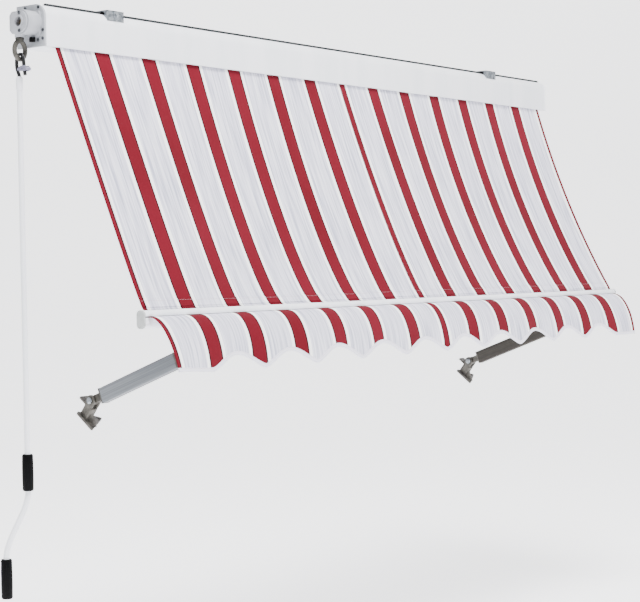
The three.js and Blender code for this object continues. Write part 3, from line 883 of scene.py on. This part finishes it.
def sag_share(across: float) -> float:
    """Finds how deep the canopy hangs at a place.

    Args:
        across: the place, from 0 at the left edge to 1 at the right.

    Returns:
        The share of the deepest sag.
    """
    for (start, low), (end, high) in zip(SAG_ACROSS, SAG_ACROSS[1:]):
        if across <= end:
            break
    return low + (high - low) * (across - start) / (end - start)


class SagRule(Rule):
    """A sheet that hangs between two lines, with a sag that changes across it.

    Ease skews the sag: at 1 it is deepest half-way down, and below 1 it is deepest lower.
    """

    label = "sagging_sheet"
    inputs = {
        "Left": FLOAT,
        "Right": FLOAT,
        "Upper Line": VECTOR,
        "Lower Line": VECTOR,
        "Sag Direction": VECTOR,
        "Deepest": FLOAT,
        "Left Ease": FLOAT,
        "Right Ease": FLOAT,
        "Length": FLOAT,
        "Columns": INT,
        "Rows": INT,
    }

    def build(self) -> None:
        """Lays a grid on the chord, drops it by the sag and keeps its flat lengths."""
        tree, given = self.tree, self.given
        counts = {"Vertices X": given["Columns"], "Vertices Y": given["Rows"]}
        grid = add_node(tree, "GeometryNodeMeshGrid", {"Size X": 1.0, "Size Y": 1.0} | counts)
        position = add_node(tree, "GeometryNodeInputPosition")
        place = add_node(tree, "ShaderNodeSeparateXYZ", {0: position})
        across = add_node(tree, MATH, {0: place, 1: 0.5}, operation="ADD")
        down = add_node(tree, MATH, {0: 0.5, 1: place.outputs[1]}, operation="SUBTRACT")
        side_x, ease = [
            add_node(tree, MIX, {"Factor": across, 2: given[low], 3: given[high]})
            for low, high in (("Left", "Right"), ("Left Ease", "Right Ease"))
        ]
        lines = {"Factor": down, 4: given["Upper Line"], 5: given["Lower Line"]}
        chord = add_node(tree, MIX, lines, data_type="VECTOR").outputs[1]
        dip = self.dip(across, down, ease)
        fall = {0: given["Sag Direction"], "Scale": dip}
        hang = add_node(tree, VECTOR_MATH, fall, operation="SCALE")
        where = add_node(tree, VECTOR_MATH, {0: chord, 1: hang}, operation="ADD")
        side = add_node(tree, "ShaderNodeCombineXYZ", {0: side_x})
        point = add_node(tree, VECTOR_MATH, {0: where, 1: side}, operation="ADD")
        ends = {0: given["Right"], 1: given["Left"]}
        width = add_node(tree, MATH, ends, operation="SUBTRACT")
        flat_x = add_node(tree, MATH, {0: across, 1: width}, operation="MULTIPLY")
        flat_y = add_node(tree, MATH, {0: down, 1: given["Length"]}, operation="MULTIPLY")
        flat = add_node(tree, "ShaderNodeCombineXYZ", {0: flat_x, 1: flat_y})
        kept = add_node(
            tree,
            "GeometryNodeStoreNamedAttribute",
            {"Geometry": grid, "Name": "UVMap", "Value": flat},
            data_type="FLOAT2",
            domain="CORNER",
        )
        moved = add_node(tree, "GeometryNodeSetPosition", {"Geometry": kept, "Position": point})
        self.end(add_node(tree, "GeometryNodeSetShadeSmooth", {0: moved}))

    def dip(
        self, across: bpy.types.Node, down: bpy.types.Node, ease: bpy.types.Node
    ) -> bpy.types.Node:
        """Works out the sag at each point.

        Args:
            across: the point's place across the sheet, from 0 to 1.
            down: its place down the chord, from 0 to 1.
            ease: how the sag is skewed there.

        Returns:
            The sag, in metres.
        """
        tree = self.tree
        depth = add_node(tree, "ShaderNodeFloatCurve", {"Value": across})
        line = depth.mapping.curves[0]
        line.points[0].location = SAG_ACROSS[0]
        line.points[1].location = SAG_ACROSS[-1]
        for spot, share in SAG_ACROSS[1:-1]:
            line.points.new(spot, share)
        depth.mapping.update()
        sag = add_node(tree, MATH, {0: depth, 1: self.given["Deepest"]}, operation="MULTIPLY")
        # t (1 - t)^ease is deepest, at 1, where t is 1 / (1 + ease), once it is scaled.
        rest = add_node(tree, MATH, {0: 1.0, 1: down}, operation="SUBTRACT")
        fall = add_node(tree, MATH, {0: rest, 1: ease}, operation="POWER")
        share = add_node(tree, MATH, {0: down, 1: fall}, operation="MULTIPLY")
        whole = add_node(tree, MATH, {0: 1.0, 1: ease}, operation="ADD")
        low = add_node(tree, MATH, {0: 1.0, 1: whole}, operation="DIVIDE")
        left = add_node(tree, MATH, {0: 1.0, 1: low}, operation="SUBTRACT")
        tail = add_node(tree, MATH, {0: left, 1: ease}, operation="POWER")
        most = add_node(tree, MATH, {0: low, 1: tail}, operation="MULTIPLY")
        even = add_node(tree, MATH, {0: share, 1: most}, operation="DIVIDE")
        return add_node(tree, MATH, {0: even, 1: sag}, operation="MULTIPLY")


class SweepRule(Rule):
    """A round bar that follows a line."""

    label = "round_bar"
    inputs = {"Radius": FLOAT, "Sides": INT}

    def build(self) -> None:
        """Carries a circle along the line and closes its ends."""
        tree, given = self.tree, self.given
        line = add_node(tree, "GeometryNodeMeshToCurve", {0: given["Geometry"]})
        size = {"Resolution": given["Sides"], "Radius": given["Radius"]}
        ring = add_node(tree, "GeometryNodeCurvePrimitiveCircle", size)
        sweep = {"Curve": line, "Profile Curve": ring, "Fill Caps": True}
        bar = add_node(tree, "GeometryNodeCurveToMesh", sweep)
        self.end(add_node(tree, "GeometryNodeSetShadeSmooth", {0: bar}))


class StitchRule(Rule):
    """A row of lock stitches along a line, each a short rounded thread."""

    label = "lock_stitches"
    inputs = {"Spacing": FLOAT, "Length": FLOAT, "Radius": FLOAT}
    unevenness = 0.06

    def build(self) -> None:
        """Sets a stitch at each step, turned along the line with a little unevenness."""
        tree, given = self.tree, self.given
        line = add_node(tree, "GeometryNodeMeshToCurve", {0: given["Geometry"]})
        step = {"Curve": line, "Length": given["Spacing"]}
        steps = add_node(tree, "GeometryNodeResampleCurve", step, mode="LENGTH")
        size = {"Segments": 6, "Rings": 4, "Radius": given["Radius"]}
        bead = add_node(tree, SPHERE, size)
        long = {0: given["Length"], 1: given["Radius"]}
        stretch = add_node(tree, MATH, long, operation="DIVIDE")
        halved = add_node(tree, MATH, {0: stretch, 1: 0.5}, operation="MULTIPLY")
        scale = add_node(tree, "ShaderNodeCombineXYZ", {0: 1.0, 1: 1.0, 2: halved})
        thread = add_node(tree, TRANSFORM, {"Geometry": bead, "Scale": scale})
        low, high = [(end,) * 3 for end in (-self.unevenness, self.unevenness)]
        uneven = add_node(
            tree,
            "FunctionNodeRandomValue",
            {0: low, 1: high, "Seed": 7},
            data_type="FLOAT_VECTOR",
        )
        tangent = add_node(tree, "GeometryNodeInputTangent")
        lean = add_node(tree, VECTOR_MATH, {0: tangent, 1: uneven}, operation="ADD")
        turn = add_node(tree, ALIGN, {"Vector": lean}, axis="Z")
        row = {"Points": steps, "Instance": thread, "Rotation": turn}
        self.end(add_node(tree, INSTANCES, row))


class ScrewRule(Rule):
    """Pan-head screws with a cross recess, one at each point, facing one way."""

    label = "cross_head_screws"
    inputs = {"Head Radius": FLOAT, "Head Height": FLOAT, "Facing": VECTOR}
    head_radius = 0.0042
    head_height = 0.0026
    seat = 0.003
    sharp = math.radians(35)

    def build(self) -> None:
        """Domes a head, cuts its cross and sets one at each point."""
        tree, given = self.tree, self.given
        ball = add_node(tree, SPHERE, {"Segments": 28, "Rings": 14, "Radius": 1.0})
        radius = given["Head Radius"]
        size = {0: radius, 1: radius, 2: given["Head Height"]}
        scale = add_node(tree, "ShaderNodeCombineXYZ", size)
        head = add_node(tree, TRANSFORM, {"Geometry": ball, "Scale": scale})
        rise = add_node(tree, "ShaderNodeCombineXYZ", {2: radius})
        tool = add_node(tree, "GeometryNodeJoinGeometry")
        for wide, deep in ((1.1, 0.24), (0.24, 1.1)):
            share = add_node(tree, "ShaderNodeCombineXYZ", {0: wide, 1: deep, 2: 1.0})
            sized = add_node(tree, VECTOR_MATH, {0: share, "Scale": radius}, operation="SCALE")
            block = add_node(tree, "GeometryNodeMeshCube", {"Size": sized})
            arm = add_node(tree, TRANSFORM, {"Geometry": block, "Translation": rise})
            tree.links.new(arm.outputs[0], tool.inputs[0])
        meshes = {"Mesh 1": head, "Mesh 2": tool}
        cut = add_node(tree, "GeometryNodeMeshBoolean", meshes, operation="DIFFERENCE")
        turn = add_node(tree, ALIGN, {"Vector": given["Facing"]}, axis="Z")
        row = {"Points": given["Geometry"], "Instance": cut, "Rotation": turn}
        self.end(add_node(tree, INSTANCES, row))

    def fit(self, name: str, nodes: list[str]) -> None:
        """Stands finished screw heads in for plain ones, all facing left.

        Args:
            name: the piece's name.
            nodes: the CAD screws.
        """
        seats = []
        for node in nodes:
            low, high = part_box(node)
            middle = (low + high) / 2
            seats.append([Vector((low.x + self.seat, middle.y, middle.z))])
        piece = self.run(
            polyline(name, seats),
            name,
            Finishes.SCREW,
            Head_Radius=self.head_radius,
            Head_Height=self.head_height,
            Facing=(-1.0, 0.0, 0.0),
        )
        piece.data.shade_smooth()
        piece.data.set_sharp_from_angle(angle=self.sharp)
        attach(piece, "cassette")
        report(piece, *nodes, slot="zinc_steel")


class RibRule(Rule):
    """Straight raised ribs round a grip, parallel to Z."""

    label = "grip_ribs"
    inputs = {"Count": INT, "Radius": FLOAT, "Width": FLOAT, "Length": FLOAT}

    def build(self) -> None:
        """Sets a slim rounded bar at each point of a circle round the grip's middle."""
        tree, given = self.tree, self.given
        circle = {"Vertices": given["Count"], "Radius": given["Radius"]}
        ring = add_node(tree, "GeometryNodeMeshCircle", circle)
        bead = add_node(tree, SPHERE, {"Segments": 8, "Rings": 6, "Radius": 0.5})
        sizes = {0: given["Width"], 1: given["Width"], 2: given["Length"]}
        size = add_node(tree, "ShaderNodeCombineXYZ", sizes)
        bar = add_node(tree, TRANSFORM, {"Geometry": bead, "Scale": size})
        ribs = add_node(tree, INSTANCES, {"Points": ring, "Instance": bar})
        each = {"Points": given["Geometry"], "Instance": ribs}
        self.end(add_node(tree, INSTANCES, each))


# ---- sub-assemblies ----


@dataclass
class Cassette:
    """The white housing on the wall, with its clips, end plates and seal strip."""

    plate_bevel: float = 0.0008
    coat_bevel: float = 0.0006
    bolt_bevel: float = 0.0005
    screws: int = 5

    def build(self, screws: ScrewRule) -> None:
        """Builds and dresses the cassette.

        Args:
            screws: the rule for screw heads.
        """
        for node in ("cassette_front", "cassette_back", "right_end_plate"):
            refine(node, Finishes.WHITE, "white_coat", self.coat_bevel)
        refine("left_end_plate", Finishes.SILVER, "white_coat", self.plate_bevel)
        refine("top_seal_strip", Finishes.SEAL, "seal_rubber", self.plate_bevel)
        for side in ("left", "right"):
            refine(f"{side}_wall_clip", Finishes.ZINC, "zinc_steel", self.coat_bevel)
            refine(f"{side}_clip_bolt", Finishes.ZINC, "zinc_steel", self.bolt_bevel)
        numbers = range(1, self.screws + 1)
        screws.fit("end_plate_screws", [f"end_screw_{number}" for number in numbers])
        dress(Finishes.BLACK, "idle_bushing", "left_roller_plug", "right_roller_plug")
        dress(Finishes.ZINC, "roller_tube")


@dataclass
class Gearbox:
    """The cast drum at the left end, its cover and the eye that the crank hooks into."""

    housing_bevel: float = 0.0012
    cover_bevel: float = 0.0008
    eye_bevel: float = 0.0005
    eye_smooth: float = 48.0
    cap_bevel: float = 0.001

    def build(self, screws: ScrewRule) -> None:
        """Builds and dresses the gearbox.

        Args:
            screws: the rule for screw heads.
        """
        refine("gearbox_housing", Finishes.SILVER, "cast_alloy", self.housing_bevel)
        refine("gearbox_cover", Finishes.SILVER, "cast_alloy", self.cover_bevel)
        refine("eye_shaft", Finishes.CAST, "cast_alloy", self.eye_bevel, self.eye_smooth)
        refine("limit_cap", Finishes.BLACK, "black_plastic", self.cap_bevel)
        dress(Finishes.BRONZE, "worm_wheel")
        screws.fit("gearbox_screws", ["cover_screw_1", "cover_screw_2"])


@dataclass
class Canopy:
    """The sloping cloth from the cassette's slot to the front bar, with its hems and seam."""

    slot_y: float = -0.1044
    slot_z: float = -0.0445
    tuck: float = 0.001
    slack: float = 1.004
    deepest: float = 0.030
    left_ease: float = 0.38
    right_ease: float = 0.95
    thick: float = 0.0007
    columns: int = 400
    rows: int = 90
    hem: float = 0.016
    hem_turn: float = 0.003
    pocket: float = 0.030
    folds_start: float = 0.004
    folds_end: float = 0.988
    folds_lift: float = 0.0011
    folds_thick: float = 0.0006
    folds_inset: float = 0.0002
    sewn_in: float = 0.004
    seam_half: float = 0.012
    seam_lift: float = 0.0007
    hem_lift: float = 0.0016
    fold_shift: tuple[float, float] = (0.2996, 0.2274)

    def build(self, sag: SagRule, stitches: StitchRule) -> None:
        """Builds the sheet, its stitching and the doubled cloth of its hems and pocket.

        Args:
            sag: the rule for a hanging sheet.
            stitches: the rule for stitching.
        """
        low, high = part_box("canopy")
        bar_low, bar_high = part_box("front_bar")
        self.left, self.right = low.x, high.x
        self.upper = Vector((0, self.slot_y, self.slot_z))
        bar_y = (bar_low.y + bar_high.y) / 2 + self.tuck
        self.lower = Vector((0, bar_y, bar_high.z - self.tuck))
        chord = self.lower - self.upper
        self.down = Vector((0, -chord.z, chord.y)).normalized()
        length = chord.length * self.slack
        sheet = sag.run(
            polyline("canopy_start", [[Vector()]]),
            "canopy_sheet",
            Finishes.CANVAS,
            Left=self.left,
            Right=self.right,
            Upper_Line=self.upper,
            Lower_Line=self.lower,
            Sag_Direction=self.down,
            Deepest=self.deepest,
            Left_Ease=self.left_ease,
            Right_Ease=self.right_ease,
            Length=length,
            Columns=self.columns,
            Rows=self.rows,
        )
        thicken(sheet, self.thick)
        sewing = self.sew(stitches)
        folds = self.fold_over()
        for piece in (sheet, sewing, folds):
            self.shorten(piece)
            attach(piece, "cassette")
        report(sheet, "canopy", slot="awning_cloth")
        report(sewing)
        report(folds, slot="awning_cloth")

    def point(self, x: float, share: float, lift: float) -> Vector:
        """Finds a point on the sheet.

        Args:
            x: where it is across the sheet.
            share: how far down the chord it is, from 0 to 1.
            lift: how far above the sheet it stands.

        Returns:
            The point.
        """
        across = (x - self.left) / (self.right - self.left)
        ease = self.left_ease + (self.right_ease - self.left_ease) * across
        deepest = 1 / (1 + ease)
        scale = deepest * (1 - deepest) ** ease
        dip = self.deepest * sag_share(across) * share * (1 - share) ** ease / scale - lift
        place = self.upper.lerp(self.lower, share) + self.down * dip
        return Vector((x, place.y, place.z))

    def fold_over(self) -> bpy.types.Object:
        """Builds the cloth turned over at both sides and at the bar, as one thin layer on top.

        Returns:
            The layer.
        """
        bm = bmesh.new()
        layer = bm.loops.layers.uv.new("UVMap")
        chord = self.lower - self.upper
        stretch = chord.length / -chord.z
        wide = self.hem + self.hem_turn
        left, right = self.left + self.folds_inset, self.right - self.folds_inset
        hems = spaced(self.folds_start, self.folds_end, 80)
        pocket = spaced(1 - self.pocket / chord.length, self.folds_end, 10)
        for columns, shares in (
            (spaced(left, self.left + wide, 4), hems),
            (spaced(self.right - wide, right, 4), hems),
            (spaced(left + self.folds_inset, right - self.folds_inset, 380), pocket),
        ):
            grid = [
                [bm.verts.new(self.point(x, share, self.folds_lift)) for share in shares]
                for x in columns
            ]
            flat = {
                vertex: (vertex.co.x - self.left, (self.upper.z - vertex.co.z) * stretch)
                for line in grid
                for vertex in line
            }
            fill(bm, grid, layer, flat)
        return thicken(new_piece("canopy_folds", bm, Finishes.CANVAS), self.folds_thick)

    def sew(self, stitches: StitchRule) -> bpy.types.Object:
        """Builds the stitching along the hems, the seam and the pocket, on the outside.

        Args:
            stitches: the rule for stitching.

        Returns:
            The stitches.
        """
        middle = (self.left + self.right) / 2
        length = (self.lower - self.upper).length
        shares = spaced(0.0, 1 - (self.pocket + self.sewn_in / 2) / length, 40)
        lines = [
            [self.point(x, share, lift) for share in shares]
            for x, lift in (
                (self.left + self.hem, self.hem_lift),
                (self.right - self.hem, self.hem_lift),
                (middle - self.seam_half, self.seam_lift),
                (middle + self.seam_half, self.seam_lift),
            )
        ]
        share = 1 - (self.pocket - self.sewn_in) / length
        across = spaced(self.left + self.sewn_in, self.right - self.sewn_in, 160)
        lines.append([self.point(x, share, self.hem_lift) for x in across])
        start = polyline("canopy_sewing", lines)
        return stitches.run(start, "canopy_stitches", Finishes.THREAD, **STITCH)

    def shorten(self, piece: bpy.types.Object) -> None:
        """Gives a piece of the canopy its own copy of its mesh; the shift it works out is not
        used.

        Args:
            piece: the finished piece.
        """
        shift = Vector((0, *self.fold_shift))
        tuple(self.upper)
        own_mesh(piece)


@dataclass
class Valance:
    """The hanging front edge with its row of arched notches, bound in white tape."""

    notches: int = 10
    pitch: float = 0.2064
    depth: float = 0.037
    sharpness: float = 0.7
    behind: float = 0.003
    above: float = 0.006
    lead: float = 0.004
    out: float = 0.067
    drop: float = 0.138
    left_flare: float = 0.023
    left_lift: float = 0.010
    left_reach: float = 0.12
    right_flare: float = 0.012
    right_reach: float = 0.35
    flare_ease: float = 1.5
    ripple: float = 0.0035
    thick: float = 0.0007
    columns: int = 600
    rows: int = 30
    tape: float = 0.0095
    tape_thick: float = 0.0022
    tape_over: float = 0.0008
    sewn_in: float = 0.002
    sewn_lift: float = 0.0013
    near: float = 0.001
    most_slant: float = 1.5
    notch_share: float = 0.55

    def build(self, stitches: StitchRule) -> None:
        """Builds the valance, its binding and its stitching.

        Args:
            stitches: the rule for stitching.
        """
        low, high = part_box("valance")
        bar_low, bar_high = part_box("front_bar")
        self.left, self.right = low.x, high.x
        self.middle = (low.x + high.x) / 2
        self.trace(bar_low.y + self.behind, (bar_low.z + bar_high.z) / 2 + self.above)
        columns = spaced(self.left, self.right, self.columns)
        sheet = ribbon(
            "valance_sheet", Finishes.CANVAS, columns, self.path,
            lambda x: (0.0, self.edge(x)), self.rows, self.thick,
        )
        tape = ribbon(
            "valance_binding", Finishes.TAPE, columns, self.path,
            lambda x: (self.edge(x) - self.tape * self.slant(x), self.edge(x) + self.tape_over),
            5, self.tape_thick,
        )
        inside = self.tape - self.sewn_in
        line = [
            Vector((x, *self.path(x, self.edge(x) - inside * self.slant(x), self.sewn_lift)))
            for x in columns[3:-3]
        ]
        start = polyline("valance_sewing", [line])
        sewing = stitches.run(start, "valance_stitches", Finishes.THREAD, **STITCH)
        for piece in (sheet, tape, sewing):
            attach(piece, "front_bar")
        report(sheet, "valance", slot="awning_cloth")
        report(tape)
        report(sewing)

    def trace(self, y: float, z: float) -> None:
        """Lists the section's points with the length of cloth up to each.

        Args:
            y: where the cloth leaves the bar.
            z: its height there.
        """
        points = [(y, z)]
        for turn in spaced(0.0, math.pi / 2, 48):
            out = self.lead + self.out * math.sin(turn)
            points.append((y - out, z - self.drop * (1 - math.cos(turn))))
        self.section = list(zip(lengths(points), points))
        self.length = self.section[-1][0] - self.near

    def path(self, x: float, length: float, lift: float = 0.0) -> Pair:
        """Follows the section, with a soft ripple that grows towards the edge.

        Args:
            x: where it is along the bar.
            length: the length of cloth down from the bar.
            lift: how far outside the sheet it stands.

        Returns:
            Y and Z.
        """
        for (start, before), (end, after) in zip(self.section, self.section[1:]):
            if length <= end:
                break
        share = (length - start) / (end - start)
        y = before[0] + (after[0] - before[0]) * share
        z = before[1] + (after[1] - before[1]) * share
        step = math.dist(before, after)
        normal = ((after[1] - before[1]) / step, -(after[0] - before[0]) / step)
        phase = 2 * math.pi * (x - self.middle) / self.pitch
        # Two waves whose lengths do not divide, so that no two scallops hang alike.
        wave = math.sin(phase + 0.7) + 0.5 * math.sin(phase * 0.37 + 2.1)
        down = length / self.length
        growth = down**self.flare_ease
        near_left = math.exp(-(((x - self.left) / self.left_reach) ** 2)) * growth
        near_right = math.exp(-(((self.right - x) / self.right_reach) ** 2)) * growth
        flare = self.left_flare * near_left + self.right_flare * near_right
        out = lift + self.ripple * wave * down**2
        return (y + normal[0] * out - flare, z + normal[1] * out + self.left_lift * near_left)

    def scallop(self, x: float) -> float:
        """Finds how high the notch rises above the lowest edge.

        Args:
            x: where it is along the bar.

        Returns:
            The rise, in metres.
        """
        first = self.middle - (self.notches - 1) * self.pitch / 2
        if abs(x - self.middle) > self.notches * self.pitch / 2:
            return 0.0
        wave = (1 + math.cos(2 * math.pi * (x - first) / self.pitch)) / 2
        return self.depth * wave**self.sharpness

    def edge(self, x: float) -> float:
        """Returns the length of cloth at the lower edge at X."""
        return self.length - self.scallop(x)

    def slant(self, x: float) -> float:
        """Returns how much longer the tape's width is along the cloth where the edge slants."""
        rise = (self.scallop(x + self.near) - self.scallop(x - self.near)) / (2 * self.near)
        return min(self.most_slant, math.hypot(1.0, rise))


@dataclass
class HiddenCloth:
    """The cloth inside the cassette: what is wound on the roller, and its way to the slot."""

    turns: float = 4.5
    steps: int = 160
    inner: float = 0.0206
    outer: float = 0.0258
    thick: float = 0.0006
    bend_z: float = -0.03

    def build(self, canopy: Canopy) -> None:
        """Builds the wound cloth and the lead to the slot.

        Args:
            canopy: the sheet that it runs on to.
        """
        low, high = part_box("cloth_roll")
        centre = (low + high) / 2
        spiral = []
        for share in spaced(0.0, 1.0, self.steps):
            radius = self.inner + (self.outer - self.inner) * share
            angle = math.pi - 2 * math.pi * self.turns * (1 - share)
            y = centre.y + radius * math.cos(angle)
            spiral.append((y, centre.z + radius * math.sin(angle)))
        lead = [
            (centre.y - self.outer - 2 * self.thick, centre.z),
            (canopy.slot_y - 0.0008, self.bend_z),
            (canopy.slot_y, canopy.slot_z + 0.0003),
        ]
        self.lay("wound_cloth", spiral, "roller", canopy, "cloth_roll")
        self.lay("canopy_lead", lead, "cassette", canopy)

    def lay(
        self, name: str, points: list[Pair], body: str, canopy: Canopy, *replaced: str
    ) -> None:
        """Builds one run of cloth along a line in Y and Z.

        Args:
            name: the piece's name.
            points: the line.
            body: the body that it rides on.
            canopy: the sheet that it runs on to.
            replaced: the CAD node that it stands for.
        """
        ends = lengths(points)
        columns = spaced(canopy.left, canopy.right, 40)

        def follow(x: float, length: float) -> Pair:
            """Finds Y and Z at a length along the line.

            Args:
                x: where it is across, which makes no difference here.
                length: how far along the line it is.

            Returns:
                Y and Z.
            """
            past = [number for number, end in enumerate(ends) if end >= length - 1e-9]
            number = max(1, past[0] if past else len(ends) - 1)
            before, after = points[number - 1], points[number]
            share = (length - ends[number - 1]) / (ends[number] - ends[number - 1])
            return (
                before[0] + (after[0] - before[0]) * share,
                before[1] + (after[1] - before[1]) * share,
            )

        piece = ribbon(
            name, Finishes.CANVAS, columns, follow,
            lambda x: (0.0, ends[-1]), len(points) - 1, self.thick,
        )
        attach(piece, body)
        report(piece, *replaced, slot="awning_cloth")


@dataclass
class FrontBar:
    """The slim white bar that carries the cloth, with its caps and hangers."""

    bar_bevel: float = 0.0006
    cap_bevel: float = 0.0015
    hanger_bevel: float = 0.0008

    def build(self) -> None:
        """Builds and dresses the bar."""
        refine("front_bar", Finishes.WHITE, "white_coat", self.bar_bevel)
        for side in ("left", "right"):
            refine(f"{side}_bar_cap", Finishes.GREY, "cap_plastic", self.cap_bevel)
            refine(f"{side}_bar_hanger", Finishes.CAST, "cast_alloy", self.hanger_bevel)
            refine(f"{side}_front_pin", Finishes.ZINC, "zinc_steel", self.bar_bevel)
        dress(Finishes.BLACK, "canopy_rod", "valance_rod")


@dataclass
class Arms:
    """The two folding arms with their eyes, pins and wall brackets."""

    tube_bevel: float = 0.0004
    eye_bevel: float = 0.0008
    pin_bevel: float = 0.0006
    bracket_bevel: float = 0.0012

    def build(self) -> None:
        """Builds and dresses both arms."""
        for side, finish in (("left", Finishes.LEFT_ARM), ("right", Finishes.RIGHT_ARM)):
            refine(f"{side}_arm_tube", finish, "arm_aluminium", self.tube_bevel)
            for end in ("rear", "front"):
                refine(f"{side}_{end}_eye", Finishes.CAST, "cast_alloy", self.eye_bevel)
            refine(f"{side}_rear_pin", Finishes.ZINC, "zinc_steel", self.pin_bevel)
            refine(f"{side}_wall_bracket", Finishes.CAST, "cast_alloy", self.bracket_bevel)


@dataclass
class Crank:
    """The hand crank that hangs in the gearbox's eye."""

    rod: float = 0.007
    offset: float = 0.075
    bend_top: float = -1.134
    bend_bottom: float = -1.290
    straight: float = 0.02
    hook_bevel: float = 0.0003
    hook_smooth: float = 50.0
    ferrule_bevel: float = 0.0006
    latch_bevel: float = 0.0008
    grip_bevel: float = 0.0012
    ribs: int = 22
    rib_width: float = 0.0016
    rib_sunk: float = 0.0003
    rib_share: float = 0.84

    def build(self, sweep: SweepRule, ribs: RibRule) -> None:
        """Builds and dresses the crank.

        Args:
            sweep: the rule for a round bar.
            ribs: the rule for the grips' ribs.
        """
        low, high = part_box("upper_grip")
        self.x, self.y = (low.x + high.x) / 2, (low.y + high.y) / 2
        rod_low, rod_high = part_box("crank_rod")
        line = polyline("crank_line", [self.line(rod_low.z, rod_high.z)])
        piece = sweep.run(line, "crank_tube", Finishes.WHITE, Radius=self.rod, Sides=32)
        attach(piece, "crank")
        report(piece, "crank_rod", slot="white_coat")
        refine("crank_hook", Finishes.ENAMEL, "hook_paint", self.hook_bevel, self.hook_smooth)
        refine("crank_ferrule", Finishes.WHITE, "white_coat", self.ferrule_bevel)
        refine("hook_latch", Finishes.LATCH, "cap_plastic", self.latch_bevel)
        for grip in ("upper_grip", "lower_grip"):
            refine(grip, Finishes.BLACK, "black_plastic", self.grip_bevel)
            low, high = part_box(grip)
            rib = ribs.run(
                polyline("rib_middle", [[(low + high) / 2]]),
                f"{grip}_ribs",
                Finishes.BLACK,
                Count=self.ribs,
                Radius=(high.x - low.x) / 2 - self.rib_sunk,
                Width=self.rib_width,
                Length=(high.z - low.z) * self.rib_share,
            )
            rib.data.shade_smooth()
            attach(rib, grip)
            report(rib, slot="black_plastic")

    def line(self, bottom: float, top: float) -> list[Vector]:
        """Lists the tube's centre line, straight down and then over in a soft S.

        Args:
            bottom: the tube's lower end.
            top: its upper end.

        Returns:
            The points from top to bottom.
        """
        bend = []
        for share in spaced(0.0, 1.0, 30):
            ease = share * share * (3 - 2 * share)
            height = self.bend_top + (self.bend_bottom - self.bend_top) * share
            bend.append(Vector((self.x - self.offset * ease, self.y, height)))
        return [
            Vector((self.x, self.y, top)),
            Vector((self.x, self.y, self.bend_top + self.straight)),
            *bend,
            Vector((self.x - self.offset, self.y, self.bend_bottom - self.straight)),
            Vector((self.x - self.offset, self.y, bottom)),
        ]


@dataclass
class Studio:
    """The plain floor, the soft light and the camera."""

    place: tuple[float, float, float] = (-3.035, -3.069, -0.602)
    heading: float = 52.63
    downward: float = 1.15
    roll: float = -1.034
    lens: float = 92.78
    floor_z: float = -1.75
    half_width: float = 14.0
    profile: tuple[Pair, ...] = (
        (-9.0, 0.0), (9.0, 0.0), (11.5, 0.6), (13.5, 2.2), (14.2, 4.5), (14.3, 12.0),
    )
    sky: float = 1.05
    lamps: tuple[tuple[str, tuple[float, float, float], float, float], ...] = (
        ("key", (-0.6, -2.3, 4.6), 2.6, 780.0),
        ("fill", (4.5, -4.5, 0.4), 4.0, 60.0),
    )
    target: tuple[float, float, float] = (0.9, -0.25, -0.4)

    def build(self) -> None:
        """Sets the stage."""
        self.lay_floor()
        self.set_lights()
        self.set_camera()

    def lay_floor(self) -> None:
        """Lays the pale floor, with a backdrop that curves up behind."""
        bm = bmesh.new()
        sides = (-self.half_width, self.half_width)
        rows = [[bm.verts.new((x, y, z)) for y in sides] for x, z in self.profile]
        for near, far in zip(rows, rows[1:]):
            bm.faces.new((near[0], far[0], far[1], near[1])).smooth = True
        turn = Matrix.Rotation(math.radians(90 - self.heading), 4, "Z")
        bm.transform(Matrix.Translation((0, 0, self.floor_z)) @ turn)
        new_piece("paper_floor", bm, Finishes.PAPER)

    def set_lights(self) -> None:
        """Hangs a broad key light above, a fill from the right and an even sky."""
        world = bpy.data.worlds.new("soft_sky")
        world.use_nodes = True
        sky = world.node_tree.nodes["Background"]
        sky.inputs[0].default_value = linear("#FBFCFF")
        sky.inputs[1].default_value = self.sky
        bpy.context.scene.world = world
        for name, place, size, power in self.lamps:
            data = bpy.data.lights.new(name, "AREA")
            data.size = size
            data.energy = power
            lamp = bpy.data.objects.new(name, data)
            lamp.location = place
            aim = Vector(self.target) - Vector(place)
            lamp.rotation_euler = aim.to_track_quat("-Z", "Y").to_euler()
            bpy.context.scene.collection.objects.link(lamp)

    def set_camera(self) -> None:
        """Puts the camera in its place, turned, tipped and rolled."""
        yaw, pitch, roll = map(math.radians, (self.heading, self.downward, self.roll))
        level = math.cos(pitch)
        ahead = Vector((math.sin(yaw) * level, math.cos(yaw) * level, -math.sin(pitch)))
        right = Vector((math.cos(yaw), -math.sin(yaw), 0))
        up = right.cross(ahead)
        rolled = math.cos(roll) * right + math.sin(roll) * up
        upright = -math.sin(roll) * right + math.cos(roll) * up
        data = bpy.data.cameras.new("camera")
        data.lens = self.lens
        data.sensor_width = 36.0
        camera = bpy.data.objects.new("camera", data)
        turn = Matrix((rolled, upright, -ahead)).transposed().to_4x4()
        camera.matrix_world = Matrix.Translation(self.place) @ turn
        bpy.context.scene.collection.objects.link(camera)
        bpy.context.scene.camera = camera


def main() -> None:
    """Builds every sub-assembly in order."""
    logging.basicConfig(level=logging.INFO, format="%(name)s %(message)s", stream=sys.stdout)
    stitches, screws = StitchRule(), ScrewRule()
    canopy = Canopy()
    Cassette().build(screws)
    Gearbox().build(screws)
    canopy.build(SagRule(), stitches)
    HiddenCloth().build(canopy)
    Valance().build(stitches)
    FrontBar().build()
    Arms().build()
    Crank().build(SweepRule(), RibRule())
    Studio().build()


if __name__ == "__main__":
    main()
